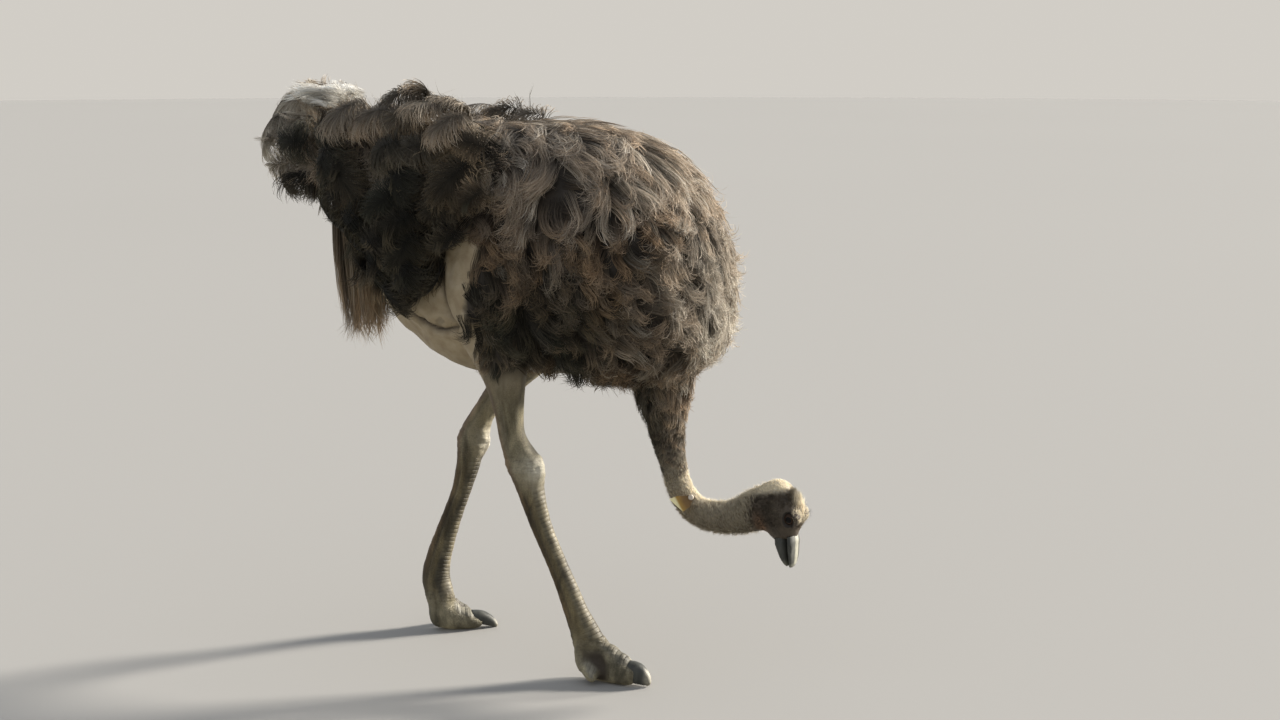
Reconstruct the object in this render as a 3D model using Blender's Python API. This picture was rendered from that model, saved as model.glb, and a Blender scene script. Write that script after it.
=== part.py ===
"""Ostrich hen walking with her head down to feed: the solids of a still, life-size model.

Metres, +Z up. The bird faces +X, her left side is +Y and her soles lie on Z = 0.
The solids reach to the tips of the feathers, so the trunk, wings and tail are the outline of the plumage.
Everything is laid out about the bird's own plane of symmetry, and the last step puts the origin
under the middle of the whole bird.
"""

import math

import bmesh
import bpy
import numpy as np
from mathutils import Matrix, Vector

# Driving dimensions.
BACK_HEIGHT = 1.32  # top of the back plumage over the soles
BELLY_HEIGHT = 0.665  # lowest plumage of the belly
TRUNK_FRONT, TRUNK_REAR = 0.226, -0.745
TRUNK_HALF_WIDTH = 0.272
RUMP_HALF_WIDTH = 0.205  # the bare flank behind the curtain of body feathers
HOCK_HEIGHT = {"right": 0.490, "left": 0.478}
HEAD_CENTRE = Vector((0.367, 0.0, 0.406))  # a little below the line between the eyes
HEAD_PITCH = math.radians(79)  # how far the bill points below the horizon
HEAD_TURN = math.radians(7)  # how far the crown turns to the bird's right
BILL_OPEN = math.radians(4)  # how far the lower half of the bill has dropped
BILL_BASE = 0.060  # where the horn of the bill begins, ahead of the eyes
EYE_RADIUS = 0.0235
EYE_PLACE = (0.007, 0.0250, 0.013)  # of the left eye, in the head's own axes
LEFT_WING_SAG = Vector((-0.030, 0.0, -0.042))  # the left wing hangs lower than the right
GAP = 0.0005  # clearance between neighbouring solids
PLATE = 0.0016  # thickness of the plastic neck tag

WING_LOBES = {"depth": 0.012, "length": 0.17, "phase": 0.4}  # the curled ends of the plumes
TAIL_LOBES = {"depth": 0.012, "length": 0.15, "phase": 1.3}
TAG_PIN = Vector((0.143, -0.0400, 0.430))  # where the tag is pinned to the neck
TAG_EDGE = Vector((0.112, -0.0560, 0.412))  # middle of the tag's free edge
TAG_BREADTH = Vector((0.036, 0.0, -0.028))  # the way the tag is broad
BUTTON_RADIUS, BUTTON_HEIGHT = 0.0065, 0.0055

# Points round a section, and steps between two of its stations.
TRUNK_SIDES, WING_SIDES, TAIL_SIDES, LEG_SIDES, NECK_SIDES, SKULL_SIDES = 20, 14, 14, 12, 12, 16
TOE_SIDES, BILL_SIDES, BUTTON_SIDES = 12, 12, 12
FINE, PLAIN = 2, 1

UP = Vector((0, 0, 1))
SIDEWAYS = Vector((0, 1, 0))

SKIN_GREY = (0.30, 0.26, 0.21, 1)
SKIN_BARE = (0.40, 0.32, 0.25, 1)
PLUMAGE = (0.16, 0.125, 0.10, 1)
PLUMAGE_PALE = (0.30, 0.26, 0.22, 1)
HORN = (0.22, 0.21, 0.18, 1)
EYE_BROWN = (0.05, 0.03, 0.02, 1)
TAG_YELLOW = (0.80, 0.52, 0.06, 1)


# ---------------------------------------------------------------- scene and materials


def clear_scene():
    for obj in list(bpy.data.objects):
        bpy.data.objects.remove(obj)


def collection(name):
    made = bpy.data.collections.new(name)
    bpy.context.scene.collection.children.link(made)
    return made


def give_material(obj, colour, roughness):
    material = bpy.data.materials.new(obj.name)
    material.use_nodes = True
    shader = material.node_tree.nodes["Principled BSDF"]
    shader.inputs["Base Color"].default_value = colour
    shader.inputs["Roughness"].default_value = roughness
    shader.inputs["Metallic"].default_value = 0.0
    obj.data.materials.clear()
    obj.data.materials.append(material)


# ---------------------------------------------------------------- shapes


def spline(rows, steps):
    """A Catmull-Rom curve through rows of numbers, with this many steps in each span."""
    rows = np.array(rows, float)
    run = np.vstack([2 * rows[0] - rows[1], rows, 2 * rows[-1] - rows[-2]])
    points = []
    for a, b, c, d in zip(run, run[1:], run[2:], run[3:]):
        for t in np.arange(steps) / steps:
            bend = (2 * a - 5 * b + 4 * c - d) * t**2 + (3 * b - a - 3 * c + d) * t**3
            points.append(b + 0.5 * ((c - a) * t + bend))
    points.append(rows[-1])
    return np.array(points)


def oval(centre, across, along, half_across, half_along, sides, squareness=2.0):
    """One closed section: a superellipse in the plane of two unit vectors."""
    angles = np.linspace(0, 2 * np.pi, sides, endpoint=False)
    cos, sin = np.cos(angles), np.sin(angles)
    u = np.sign(cos) * np.abs(cos) ** (2 / squareness) * half_across
    v = np.sign(sin) * np.abs(sin) ** (2 / squareness) * half_along
    return np.array(centre) + np.outer(u, across) + np.outer(v, along)


def skin_over(name, rings, home):
    """A closed mesh over a row of sections with equal numbers of points."""
    mesh = bmesh.new()
    rows = [[mesh.verts.new(point) for point in ring] for ring in rings]
    for low, high in zip(rows, rows[1:]):
        for i in range(len(low)):
            j = (i + 1) % len(low)
            mesh.faces.new((low[i], low[j], high[j], high[i]))
    mesh.faces.new(rows[0])
    mesh.faces.new(rows[-1])
    bmesh.ops.triangulate(mesh, faces=mesh.faces[:])
    bmesh.ops.recalc_face_normals(mesh, faces=mesh.faces[:])
    data = bpy.data.meshes.new(name)
    mesh.to_mesh(data)
    mesh.free()
    data.shade_smooth()
    obj = bpy.data.objects.new(name, data)
    home.objects.link(obj)
    return obj


def limb(name, stations, home, sides, steps=FINE, squareness=2.0):
    """A rounded member along a curve. A station is x, y, z, half its depth and half its width.

    Width is measured sideways, across the bird, and depth in the plane that holds the curve.
    """
    rows = spline(stations, steps)
    ways = np.gradient(rows[:, :3], axis=0)
    rings = []
    for row, way in zip(rows, ways):
        way = Vector(way).normalized()
        across = (SIDEWAYS - way * SIDEWAYS.dot(way)).normalized()
        deep = across.cross(way)
        rings.append(oval(row[:3], across, deep, row[4], row[3], sides, squareness))
    return skin_over(name, rings, home)


def ball(name, centre, radius, home, segments=14, rings=9):
    mesh = bmesh.new()
    bmesh.ops.create_uvsphere(mesh, u_segments=segments, v_segments=rings, radius=radius)
    data = bpy.data.meshes.new(name)
    mesh.to_mesh(data)
    mesh.free()
    data.transform(Matrix.Translation(centre))
    data.shade_smooth()
    obj = bpy.data.objects.new(name, data)
    home.objects.link(obj)
    return obj


def mirrored(obj, name, home, shift):
    """The same shape on the bird's other side, moved along x and z."""
    data = obj.data.copy()
    data.transform(Matrix.Translation(shift) @ Matrix.Diagonal((1, -1, 1, 1)))
    data.flip_normals()
    twin = bpy.data.objects.new(name, data)
    home.objects.link(twin)
    return twin


def cut(obj, point, normal):
    """Removes what lies behind a plane, in the object's own coordinates, and closes the cut."""
    mesh = bmesh.new()
    mesh.from_mesh(obj.data)
    geometry = mesh.verts[:] + mesh.edges[:] + mesh.faces[:]
    bmesh.ops.bisect_plane(
        mesh, geom=geometry, dist=1e-6, plane_co=point, plane_no=normal, clear_inner=True
    )
    rim = [edge for edge in mesh.edges if edge.is_boundary]
    bmesh.ops.triangle_fill(mesh, use_beauty=True, edges=rim, normal=-Vector(normal))
    bmesh.ops.recalc_face_normals(mesh, faces=mesh.faces[:])
    mesh.to_mesh(obj.data)
    mesh.free()
    return obj


def part_at(obj, cuts, names, home):
    """Parts one mesh into lengths, at planes given as (point, normal), with GAP between them."""
    parts = []
    for i, name in enumerate(names):
        piece = bpy.data.objects.new(name, obj.data.copy())
        home.objects.link(piece)
        if i > 0:
            point, normal = (Vector(v) for v in cuts[i - 1])
            cut(piece, point + normal.normalized() * GAP / 2, normal)
        if i < len(cuts):
            point, normal = (Vector(v) for v in cuts[i])
            cut(piece, point - normal.normalized() * GAP / 2, -normal)
        parts.append(piece)
    bpy.data.objects.remove(obj)
    return parts


# ---------------------------------------------------------------- Booleans


def clearance(obj, cutters, gap=GAP):
    """A copy of a solid that is larger by the gap, to cut its neighbours with."""
    copy = obj.copy()
    copy.name = "clear_" + obj.name
    copy.data = obj.data.copy()
    cutters.objects.link(copy)
    copy.hide_render = True
    copy.display_type = "WIRE"
    swell = copy.modifiers.new("gap", "DISPLACE")
    swell.strength = gap
    swell.mid_level = 0.0
    return copy


def bake(obj):
    """Turns an object's modifiers into its mesh."""
    bpy.context.view_layer.update()
    graph = bpy.context.evaluated_depsgraph_get()
    obj.data = bpy.data.meshes.new_from_object(obj.evaluated_get(graph))
    obj.modifiers.clear()
    return obj


def combine(obj, others, operation):
    for other in others:
        boolean = obj.modifiers.new(other.name, "BOOLEAN")
        boolean.operation = operation
        boolean.solver = "EXACT"
        boolean.object = other
    return bake(obj)


def trim(obj, *cutters):
    """Cuts an object back from its neighbours and keeps its largest body."""
    combine(obj, cutters, "DIFFERENCE")
    mesh = bmesh.new()
    mesh.from_mesh(obj.data)
    unseen = set(mesh.verts)
    bodies = []
    while unseen:
        body, edge = set(), [unseen.pop()]
        while edge:
            vert = edge.pop()
            body.add(vert)
            near = {e.other_vert(vert) for e in vert.link_edges} & unseen
            unseen -= near
            edge.extend(near)
        bodies.append(body)
    bodies.sort(key=len)
    for body in bodies[:-1]:
        bmesh.ops.delete(mesh, geom=list(body), context="VERTS")
    mesh.to_mesh(obj.data)
    mesh.free()
    return obj


# ---------------------------------------------------------------- trunk, wings and tail


def make_trunk(home):
    """The trunk with its plumage. Its front two thirds are feathered down to the belly.

    A row is x, half the width, and the height of the top and of the bottom.
    """
    high, low, wide, bare = BACK_HEIGHT, BELLY_HEIGHT, TRUNK_HALF_WIDTH, RUMP_HALF_WIDTH
    rows = [
        (TRUNK_REAR, 0.25 * bare, high - 0.165, high - 0.290),
        (TRUNK_REAR + 0.035, 0.54 * bare, high - 0.100, low + 0.285),
        (TRUNK_REAR + 0.105, 0.76 * bare, high - 0.045, low + 0.190),
        (TRUNK_REAR + 0.185, 0.90 * bare, high - 0.005, low + 0.098),
        (TRUNK_REAR + 0.275, 0.98 * bare, high + 0.012, low + 0.040),
        (TRUNK_REAR + 0.350, bare, high + 0.012, low + 0.018),
        (TRUNK_REAR + 0.400, 1.04 * bare, high - 0.004, low + 0.014),
        (TRUNK_REAR + 0.440, 0.93 * wide, high - 0.008, low + 0.006),
        (TRUNK_REAR + 0.545, 0.98 * wide, high - 0.003, low),
        (TRUNK_FRONT - 0.312, wide, high - 0.012, low - 0.002),
        (TRUNK_FRONT - 0.202, 0.96 * wide, high - 0.052, low + 0.002),
        (TRUNK_FRONT - 0.112, 0.83 * wide, high - 0.129, low + 0.018),
        (TRUNK_FRONT - 0.047, 0.62 * wide, high - 0.226, low + 0.060),
        (TRUNK_FRONT - 0.012, 0.36 * wide, high - 0.325, low + 0.125),
        (TRUNK_FRONT, 0.12 * wide, high - 0.400, low + 0.200),
    ]
    rings = []
    for x, half_width, top, bottom in spline(rows, FINE):
        centre = (x, 0, (top + bottom) / 2)
        half_height = (top - bottom) / 2
        rings.append(oval(centre, SIDEWAYS, UP, half_width, half_height, TRUNK_SIDES, 2.25))
    return skin_over("trunk", rings, home)


def plume_lobes(obj, depth, length, phase):
    """Swells a feathery mass into rounded lobes, by two waves that cross."""
    normals = [vert.normal.copy() for vert in obj.data.vertices]
    turns = 2 * math.pi / length
    for vert, normal in zip(obj.data.vertices, normals):
        along = turns * vert.co.x + phase
        athwart = turns * (1.25 * vert.co.z + 0.75 * vert.co.x) + 2 * phase
        vert.co += normal * (depth / 2) * (math.sin(along) + math.sin(athwart))
    return obj


def make_wing(home):
    """The right wing: a deep bunch of plumes that lies on the rump and droops over the flank.

    A row is x, the middle's y, half the width, and the height of the top and of the bottom.
    """
    high = BACK_HEIGHT
    rows = [
        (-0.215, -0.238, 0.018, high - 0.095, high - 0.170),
        (-0.240, -0.238, 0.038, high - 0.052, high - 0.215),
        (-0.290, -0.238, 0.056, high - 0.016, high - 0.260),
        (-0.350, -0.236, 0.070, high + 0.010, high - 0.322),
        (-0.420, -0.230, 0.082, high + 0.028, high - 0.395),
        (-0.490, -0.222, 0.088, high + 0.038, high - 0.435),
        (-0.560, -0.210, 0.088, high + 0.040, high - 0.410),
        (-0.630, -0.196, 0.084, high + 0.040, high - 0.325),
        (-0.700, -0.180, 0.078, high + 0.037, high - 0.238),
        (-0.770, -0.165, 0.068, high + 0.028, high - 0.178),
        (-0.830, -0.152, 0.050, high + 0.002, high - 0.130),
        (-0.862, -0.146, 0.022, high - 0.038, high - 0.092),
    ]
    rings = []
    for x, y, half_width, top, bottom in spline(rows, FINE):
        middle = (x, y, (top + bottom) / 2)
        half_height = (top - bottom) / 2
        rings.append(oval(middle, SIDEWAYS, UP, half_width, half_height, WING_SIDES, 2.2))
    return plume_lobes(skin_over("wing_right", rings, home), **WING_LOBES)


def make_tail(home):
    """The tail: plumes that stand out behind the rump, and plumes that hang below them."""
    standing = [
        (-0.640, 0, 1.195, 0.110, 0.100),
        (-0.730, 0, 1.215, 0.140, 0.150),
        (-0.820, 0, 1.228, 0.136, 0.165),
        (-0.900, 0, 1.235, 0.108, 0.135),
        (-0.945, 0, 1.238, 0.062, 0.080),
        (-0.958, 0, 1.240, 0.022, 0.030),
    ]
    hanging = [
        (-0.700, 0, 1.160, 0.080, 0.110),
        (-0.700, 0, 1.060, 0.098, 0.145),
        (-0.698, 0, 0.950, 0.100, 0.152),
        (-0.708, 0, 0.855, 0.090, 0.132),
        (-0.732, 0, 0.775, 0.062, 0.095),
        (-0.744, 0, 0.722, 0.024, 0.042),
    ]
    tail = plume_lobes(limb("tail", standing, home, TAIL_SIDES), **TAIL_LOBES)
    lower = limb("tail_hanging", hanging, home, TAIL_SIDES, PLAIN)
    combine(tail, [lower], "UNION")
    bpy.data.objects.remove(lower)
    return tail


# ---------------------------------------------------------------- legs


def leg_stations(side):
    """The course of a leg from the hip to the foot: x, z, half its depth, half its width."""
    hock = HOCK_HEIGHT[side]
    if side == "right":  # stretched forward, bearing weight
        return [
            (-0.335, 1.055, 0.090, 0.066),
            (-0.305, 0.965, 0.112, 0.076),
            (-0.290, 0.875, 0.112, 0.076),
            (-0.288, 0.785, 0.084, 0.058),
            (-0.274, hock + 0.210, 0.053, 0.049),
            (-0.266, hock + 0.130, 0.037, 0.036),
            (-0.260, hock + 0.070, 0.033, 0.032),
            (-0.242, hock + 0.030, 0.041, 0.036),
            (-0.228, hock, 0.047, 0.039),
            (-0.218, hock - 0.040, 0.038, 0.032),
            (-0.196, hock - 0.120, 0.029, 0.026),
            (-0.166, hock - 0.190, 0.0265, 0.025),
            (-0.134, hock - 0.260, 0.0275, 0.026),
            (-0.101, hock - 0.340, 0.032, 0.029),
            (-0.078, hock - 0.388, 0.039, 0.033),
            (-0.065, hock - 0.425, 0.040, 0.034),
        ]
    return [  # left behind, pushing off, with the hock flexed
        (-0.380, 1.040, 0.100, 0.070),
        (-0.300, 0.955, 0.112, 0.084),
        (-0.275, 0.865, 0.102, 0.080),
        (-0.308, 0.765, 0.078, 0.066),
        (-0.370, hock + 0.202, 0.052, 0.049),
        (-0.430, hock + 0.132, 0.037, 0.036),
        (-0.468, hock + 0.082, 0.031, 0.031),
        (-0.490, hock + 0.040, 0.037, 0.035),
        (-0.502, hock, 0.043, 0.038),
        (-0.508, hock - 0.038, 0.036, 0.032),
        (-0.526, hock - 0.118, 0.0275, 0.026),
        (-0.553, hock - 0.198, 0.029, 0.025),
        (-0.578, hock - 0.278, 0.034, 0.028),
        (-0.589, hock - 0.338, 0.038, 0.032),
        (-0.580, hock - 0.376, 0.040, 0.035),
        (-0.564, hock - 0.412, 0.037, 0.035),
    ]


# For each side: how far out the hip, knee, hock and foot stand, and how far the foot turns out.
STANCE = {"right": (0.150, 0.160, 0.143, 0.137), "left": (0.150, 0.156, 0.128, 0.072)}
TOE_OUT = {"right": math.radians(3), "left": math.radians(29)}
TOE_SPREAD = {"right": math.radians(36), "left": math.radians(30)}  # between a foot's toes
SOLE_SQUARENESS = 2.6  # of the big toe's section, which rests on a broad flat pad
SMALL_TOE_OUT = 0.018  # how far outside the joint's middle the small toe begins
FOOT_X = {"right": -0.080, "left": -0.573}  # of the joint where the toes begin

# Toes and nails along the ground from the joint: x, y, z, half the depth and half the width.
# The left foot pushes off, so its big toe lies flatter and its small toe stands higher.
BIG_TOE = {
    "right": [
        (-0.028, 0, 0.060, 0.020, 0.019),
        (-0.010, 0, 0.060, 0.041, 0.031),
        (0.022, 0, 0.052, 0.052, 0.031),
        (0.054, 0, 0.042, 0.050, 0.0315),
        (0.084, 0, 0.034, 0.044, 0.0325),
        (0.110, 0, 0.029, 0.038, 0.030),
        (0.128, 0, 0.026, 0.028, 0.023),
    ],
    "left": [
        (-0.028, 0, 0.050, 0.020, 0.020),
        (-0.010, 0, 0.047, 0.040, 0.032),
        (0.022, 0, 0.034, 0.038, 0.0325),
        (0.050, 0, 0.025, 0.031, 0.0325),
        (0.075, 0, 0.021, 0.027, 0.032),
        (0.097, 0, 0.0175, 0.022, 0.028),
        (0.110, 0, 0.015, 0.016, 0.022),
    ],
}
SMALL_TOE = {
    "right": [
        (0.002, 0, 0.050, 0.0200, 0.0160),
        (0.026, 0, 0.037, 0.0215, 0.0165),
        (0.048, 0, 0.026, 0.0200, 0.0155),
        (0.066, 0, 0.0195, 0.0165, 0.0135),
        (0.080, 0, 0.0150, 0.0090, 0.0080),
    ],
    "left": [
        (0.008, 0, 0.076, 0.0240, 0.0190),
        (0.040, 0, 0.054, 0.0230, 0.0180),
        (0.072, 0, 0.034, 0.0210, 0.0170),
        (0.098, 0, 0.021, 0.0170, 0.0145),
        (0.114, 0, 0.0150, 0.0090, 0.0080),
    ],
}
NAIL = {
    "right": [
        (0.102, 0, 0.041, 0.027, 0.0190),
        (0.130, 0, 0.035, 0.0255, 0.0180),
        (0.147, 0, 0.0235, 0.0210, 0.0140),
        (0.156, 0, 0.011, 0.012, 0.008),
        (0.159, 0, 0.004, 0.004, 0.003),
    ],
    "left": [
        (0.080, 0, 0.0290, 0.0165, 0.0180),
        (0.106, 0, 0.0245, 0.0165, 0.0170),
        (0.126, 0, 0.0150, 0.0130, 0.0130),
        (0.138, 0, 0.0060, 0.0070, 0.0080),
        (0.142, 0, 0.0020, 0.0030, 0.0030),
    ],
}
OUTWARDS = {"right": -1, "left": 1}


def make_leg(side, home):
    """Thigh with drumstick, shank and foot bone of one leg, as one course cut at its joints."""
    course = leg_stations(side)
    hip, knee, hock, foot = STANCE[side]
    heights = (0.0, 0.06, HOCK_HEIGHT[side], 0.87, 1.04)
    spread = (foot, foot, hock, knee, hip)
    stations = [
        (x, OUTWARDS[side] * float(np.interp(z, heights, spread)), z, deep, wide)
        for x, z, deep, wide in course
    ]
    leg = limb("leg_" + side, stations, home, LEG_SIDES)
    shank_top = Vector(stations[5][:3])
    hock_point = Vector(stations[8][:3])
    shank_way = shank_top - Vector(stations[6][:3])
    hock_way = Vector(stations[7][:3]) - Vector(stations[9][:3])
    names = [part + side for part in ("foot_", "shank_", "thigh_")]
    cuts = [(hock_point, hock_way), (shank_top, shank_way)]
    return part_at(leg, cuts, names, home)


def make_toes(side, home, cutters):
    """The big inner toe with its nail, and the small outer toe, flat underneath."""
    ankle = Vector((FOOT_X[side], OUTWARDS[side] * STANCE[side][3], 0))
    turn = OUTWARDS[side] * TOE_OUT[side]
    spread = OUTWARDS[side] * TOE_SPREAD[side]
    toes = []
    for name, stations, angle, out, squareness in (
        ("toe_inner_", BIG_TOE[side], turn, 0.0, SOLE_SQUARENESS),
        ("toe_outer_", SMALL_TOE[side], turn + spread, SMALL_TOE_OUT, 2.0),
        ("claw_", NAIL[side], turn, 0.0, 2.0),
    ):
        toe = limb(name + side, stations, home, TOE_SIDES, PLAIN, squareness)
        place = Matrix.Translation(ankle) @ Matrix.Rotation(angle, 4, "Z")
        aside = Matrix.Translation((0, OUTWARDS[side] * out, 0))
        toe.data.transform(place @ aside)
        toes.append(cut(toe, (0, 0, 0), UP))
    inner, outer, claw = toes
    trim(outer, clearance(inner, cutters))
    trim(claw, bpy.data.objects["clear_" + inner.name])
    return toes


# ---------------------------------------------------------------- neck and head


# Planes that part the neck, as a point and the way towards the head.
NECK_CUTS = [
    ((0.067, 0, 0.575), (0.20, 0, -1)),
    ((0.165, 0, 0.384), (1, 0, -0.25)),
    ((0.290, 0, 0.410), (1, 0, 0.20)),
]


def head_frame():
    """The head's own axes: x along the bill, z towards the crown."""
    turn = Matrix.Rotation(-HEAD_TURN, 4, "Z")
    return Matrix.Translation(HEAD_CENTRE) @ turn @ Matrix.Rotation(HEAD_PITCH, 4, "Y")


def section_run(name, rows, home, sides):
    """A member of the head. A row is x, half its width, and the height of its top and bottom."""
    rings = [
        oval((x, 0, (top + low) / 2), SIDEWAYS, UP, wide, (top - low) / 2, sides)
        for x, wide, top, low in spline(rows, FINE)
    ]
    obj = skin_over(name, rings, home)
    obj.data.transform(head_frame())
    return obj


def make_neck_and_skull(home):
    """The neck in three lengths, down from the breast, round the bend and forward, and the head."""
    neck_stations = [
        (0.030, 0, 0.900, 0.110, 0.110),
        (0.060, 0, 0.780, 0.098, 0.098),
        (0.060, 0, 0.665, 0.072, 0.074),
        (0.067, 0, 0.575, 0.050, 0.051),
        (0.085, 0, 0.490, 0.036, 0.037),
        (0.105, 0, 0.429, 0.037, 0.035),
        (0.141, 0, 0.390, 0.041, 0.036),
        (0.188, 0, 0.379, 0.044, 0.038),
        (0.234, 0, 0.384, 0.049, 0.040),
        (0.274, 0, 0.398, 0.056, 0.042),
        (0.312, 0, 0.426, 0.060, 0.043),
        (0.340, 0, 0.438, 0.046, 0.034),
    ]
    skull_rows = [
        (-0.094, 0.012, -0.002, -0.032),
        (-0.086, 0.028, 0.012, -0.050),
        (-0.064, 0.042, 0.028, -0.067),
        (-0.032, 0.048, 0.044, -0.074),
        (0.000, 0.047, 0.049, -0.071),
        (0.026, 0.041, 0.038, -0.066),
        (0.044, 0.035, 0.020, -0.061),
        (BILL_BASE, 0.0320, 0.0120, -0.0530),
    ]
    neck = limb("neck", neck_stations, home, NECK_SIDES)
    skull = section_run("skull", skull_rows, home, SKULL_SIDES)
    combine(neck, [skull], "UNION")
    bpy.data.objects.remove(skull)
    return part_at(neck, NECK_CUTS, ["neck_base", "neck_middle", "neck_upper", "head"], home)


def make_bill(home):
    """The flat bill in two halves, the lower one dropped a little."""
    top_rows = [
        (BILL_BASE + GAP, 0.0310, 0.0110, -0.0095),
        (0.080, 0.0290, 0.0050, -0.0115),
        (0.100, 0.0250, 0.0000, -0.0140),
        (0.115, 0.0190, -0.0050, -0.0170),
        (0.124, 0.0115, -0.0105, -0.0195),
        (0.127, 0.0040, -0.0150, -0.0190),
    ]
    bottom_rows = [
        (BILL_BASE + GAP, 0.0300, -0.0115, -0.0445),
        (0.080, 0.0275, -0.0130, -0.0410),
        (0.100, 0.0240, -0.0155, -0.0360),
        (0.114, 0.0175, -0.0180, -0.0305),
        (0.122, 0.0085, -0.0200, -0.0265),
    ]
    upper = section_run("bill_upper", top_rows, home, BILL_SIDES)
    lower = section_run("bill_lower", bottom_rows, home, BILL_SIDES)
    hinge = head_frame() @ Matrix.Translation((0, 0, -0.02))
    lower.data.transform(hinge @ Matrix.Rotation(BILL_OPEN, 4, "Y") @ hinge.inverted())
    base = head_frame() @ Vector((BILL_BASE + GAP, 0, 0))
    cut(lower, base, head_frame().to_3x3() @ Vector((1, 0, 0)))
    return upper, lower


def make_eyes(head, home, cutters):
    """The eyes, in sockets cut into the head."""
    eyes = []
    along, aside, above = EYE_PLACE
    for side, out in OUTWARDS.items():
        centre = head_frame() @ Vector((along, out * aside, above))
        eye = ball("eye_" + side, centre, EYE_RADIUS, home)
        trim(head, clearance(eye, cutters))
        eyes.append(eye)
    return eyes


def make_tag(home, cutters):
    """A plain plastic livestock tag on the right of the neck's bend, and the button that pins it."""
    broad = TAG_BREADTH.normalized()
    hang = TAG_EDGE - TAG_PIN
    face = hang.cross(broad).normalized()  # the way the tag faces, out from the neck
    rings = []
    for share, half, bow in (
        (-0.16, 0.006, 0.0),
        (0.12, 0.009, 0.0),
        (0.5, 0.019, 0.0015),
        (1.0, 0.0215, 0.0),
    ):
        centre = TAG_PIN + hang * share + face * bow
        inner, outer = centre - face * PLATE / 2, centre + face * PLATE / 2
        side = broad * half
        rings.append([inner - side, inner + side, outer + side, outer - side])
    plate = skin_over("neck_tag", rings, home)
    rings = []
    for height, share in ((-0.001, 1.0), (0.7 * BUTTON_HEIGHT, 1.0), (BUTTON_HEIGHT, 0.77)):
        centre = TAG_PIN + face * height
        radius = BUTTON_RADIUS * share
        rings.append(oval(centre, broad, face.cross(broad), radius, radius, BUTTON_SIDES))
    button = skin_over("tag_button", rings, home)
    trim(button, clearance(plate, cutters))
    return plate, button


# ---------------------------------------------------------------- assembly


def put_origin_under_middle(home):
    """Moves the bird so that the origin is at the bottom centre of the whole."""
    points = np.array([obj.matrix_world @ v.co for obj in home.objects for v in obj.data.vertices])
    low, high = points.min(axis=0), points.max(axis=0)
    shift = Matrix.Translation((-(low[0] + high[0]) / 2, -(low[1] + high[1]) / 2, -low[2]))
    for obj in home.objects:
        obj.data.transform(shift)


def main():
    clear_scene()
    home = collection("ostrich")
    cutters = collection("cutters")

    trunk = make_trunk(home)
    wings = [make_wing(home)]
    wings.append(mirrored(wings[0], "wing_left", home, LEFT_WING_SAG))
    tail = make_tail(home)
    legs = {side: make_leg(side, home) for side in OUTWARDS}
    toes = {side: make_toes(side, home, cutters) for side in OUTWARDS}
    base, middle, upper, head = make_neck_and_skull(home)
    bill = make_bill(home)
    eyes = make_eyes(head, home, cutters)
    tag = make_tag(home, cutters)

    clear_trunk = clearance(trunk, cutters)
    clear_wings = [clearance(wing, cutters) for wing in wings]
    for wing in wings:
        trim(wing, clear_trunk)
    trim(tail, clear_trunk, *clear_wings)
    for side in OUTWARDS:
        foot, shank, thigh = legs[side]
        inner, outer, claw = toes[side]
        trim(thigh, clear_trunk, *clear_wings)
        trim(foot, bpy.data.objects["clear_" + inner.name], clearance(outer, cutters))
    trim(base, clear_trunk)

    colours = {
        (trunk, *wings): (PLUMAGE, 0.9),
        (tail,): (PLUMAGE_PALE, 0.9),
        (base, middle, upper, head): (SKIN_GREY, 0.8),
        bill: (HORN, 0.5),
        tuple(eyes): (EYE_BROWN, 0.1),
        tag: (TAG_YELLOW, 0.4),
    }
    for side in OUTWARDS:
        foot, shank, thigh = legs[side]
        inner, outer, claw = toes[side]
        colours[(thigh,)] = (SKIN_BARE, 0.7)
        colours[(shank, foot, inner, outer)] = (SKIN_GREY, 0.7)
        colours[(claw,)] = (HORN, 0.45)
    for objects, (colour, roughness) in colours.items():
        for obj in objects:
            give_material(obj, colour, roughness)
    put_origin_under_middle(home)


main()
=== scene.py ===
"""The looks of the ostrich hen: one skin with its down, body plumage, wing and tail plumes, horn, eyes and tag.

Shapes are laid out in the bird's own frame (x forward, y to her left, z up, origin between the
wings' ends on the ground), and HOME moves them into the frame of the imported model.
"""

import math

import bmesh
import bpy
import numpy as np
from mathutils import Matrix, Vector
from mathutils.bvhtree import BVHTree


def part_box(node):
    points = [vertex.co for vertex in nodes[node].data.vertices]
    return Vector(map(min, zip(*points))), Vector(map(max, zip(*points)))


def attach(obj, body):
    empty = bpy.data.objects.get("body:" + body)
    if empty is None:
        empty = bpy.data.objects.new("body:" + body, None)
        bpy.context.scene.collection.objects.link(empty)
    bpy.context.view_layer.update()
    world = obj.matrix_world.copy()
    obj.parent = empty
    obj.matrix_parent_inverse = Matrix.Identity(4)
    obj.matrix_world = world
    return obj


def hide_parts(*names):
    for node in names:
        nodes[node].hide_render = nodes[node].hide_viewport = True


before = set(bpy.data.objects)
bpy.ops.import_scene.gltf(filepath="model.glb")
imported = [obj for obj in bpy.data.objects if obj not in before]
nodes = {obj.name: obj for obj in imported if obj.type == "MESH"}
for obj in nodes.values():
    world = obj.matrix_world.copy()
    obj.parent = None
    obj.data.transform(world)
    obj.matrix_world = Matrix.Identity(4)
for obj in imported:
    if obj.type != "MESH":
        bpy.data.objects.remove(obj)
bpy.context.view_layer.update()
rng = np.random.default_rng(11)

TRUNK_FRONT = 0.226  # the breast, ahead of the bird's own origin
HOME = np.array([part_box("trunk")[1].x - TRUNK_FRONT, 0.0, 0.0])
X, Y, Z = np.eye(3)
SIDES = {"right": -1.0, "left": 1.0}  # each side's way out, along y

# ------------------------------------------------------------------ numbers


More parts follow.
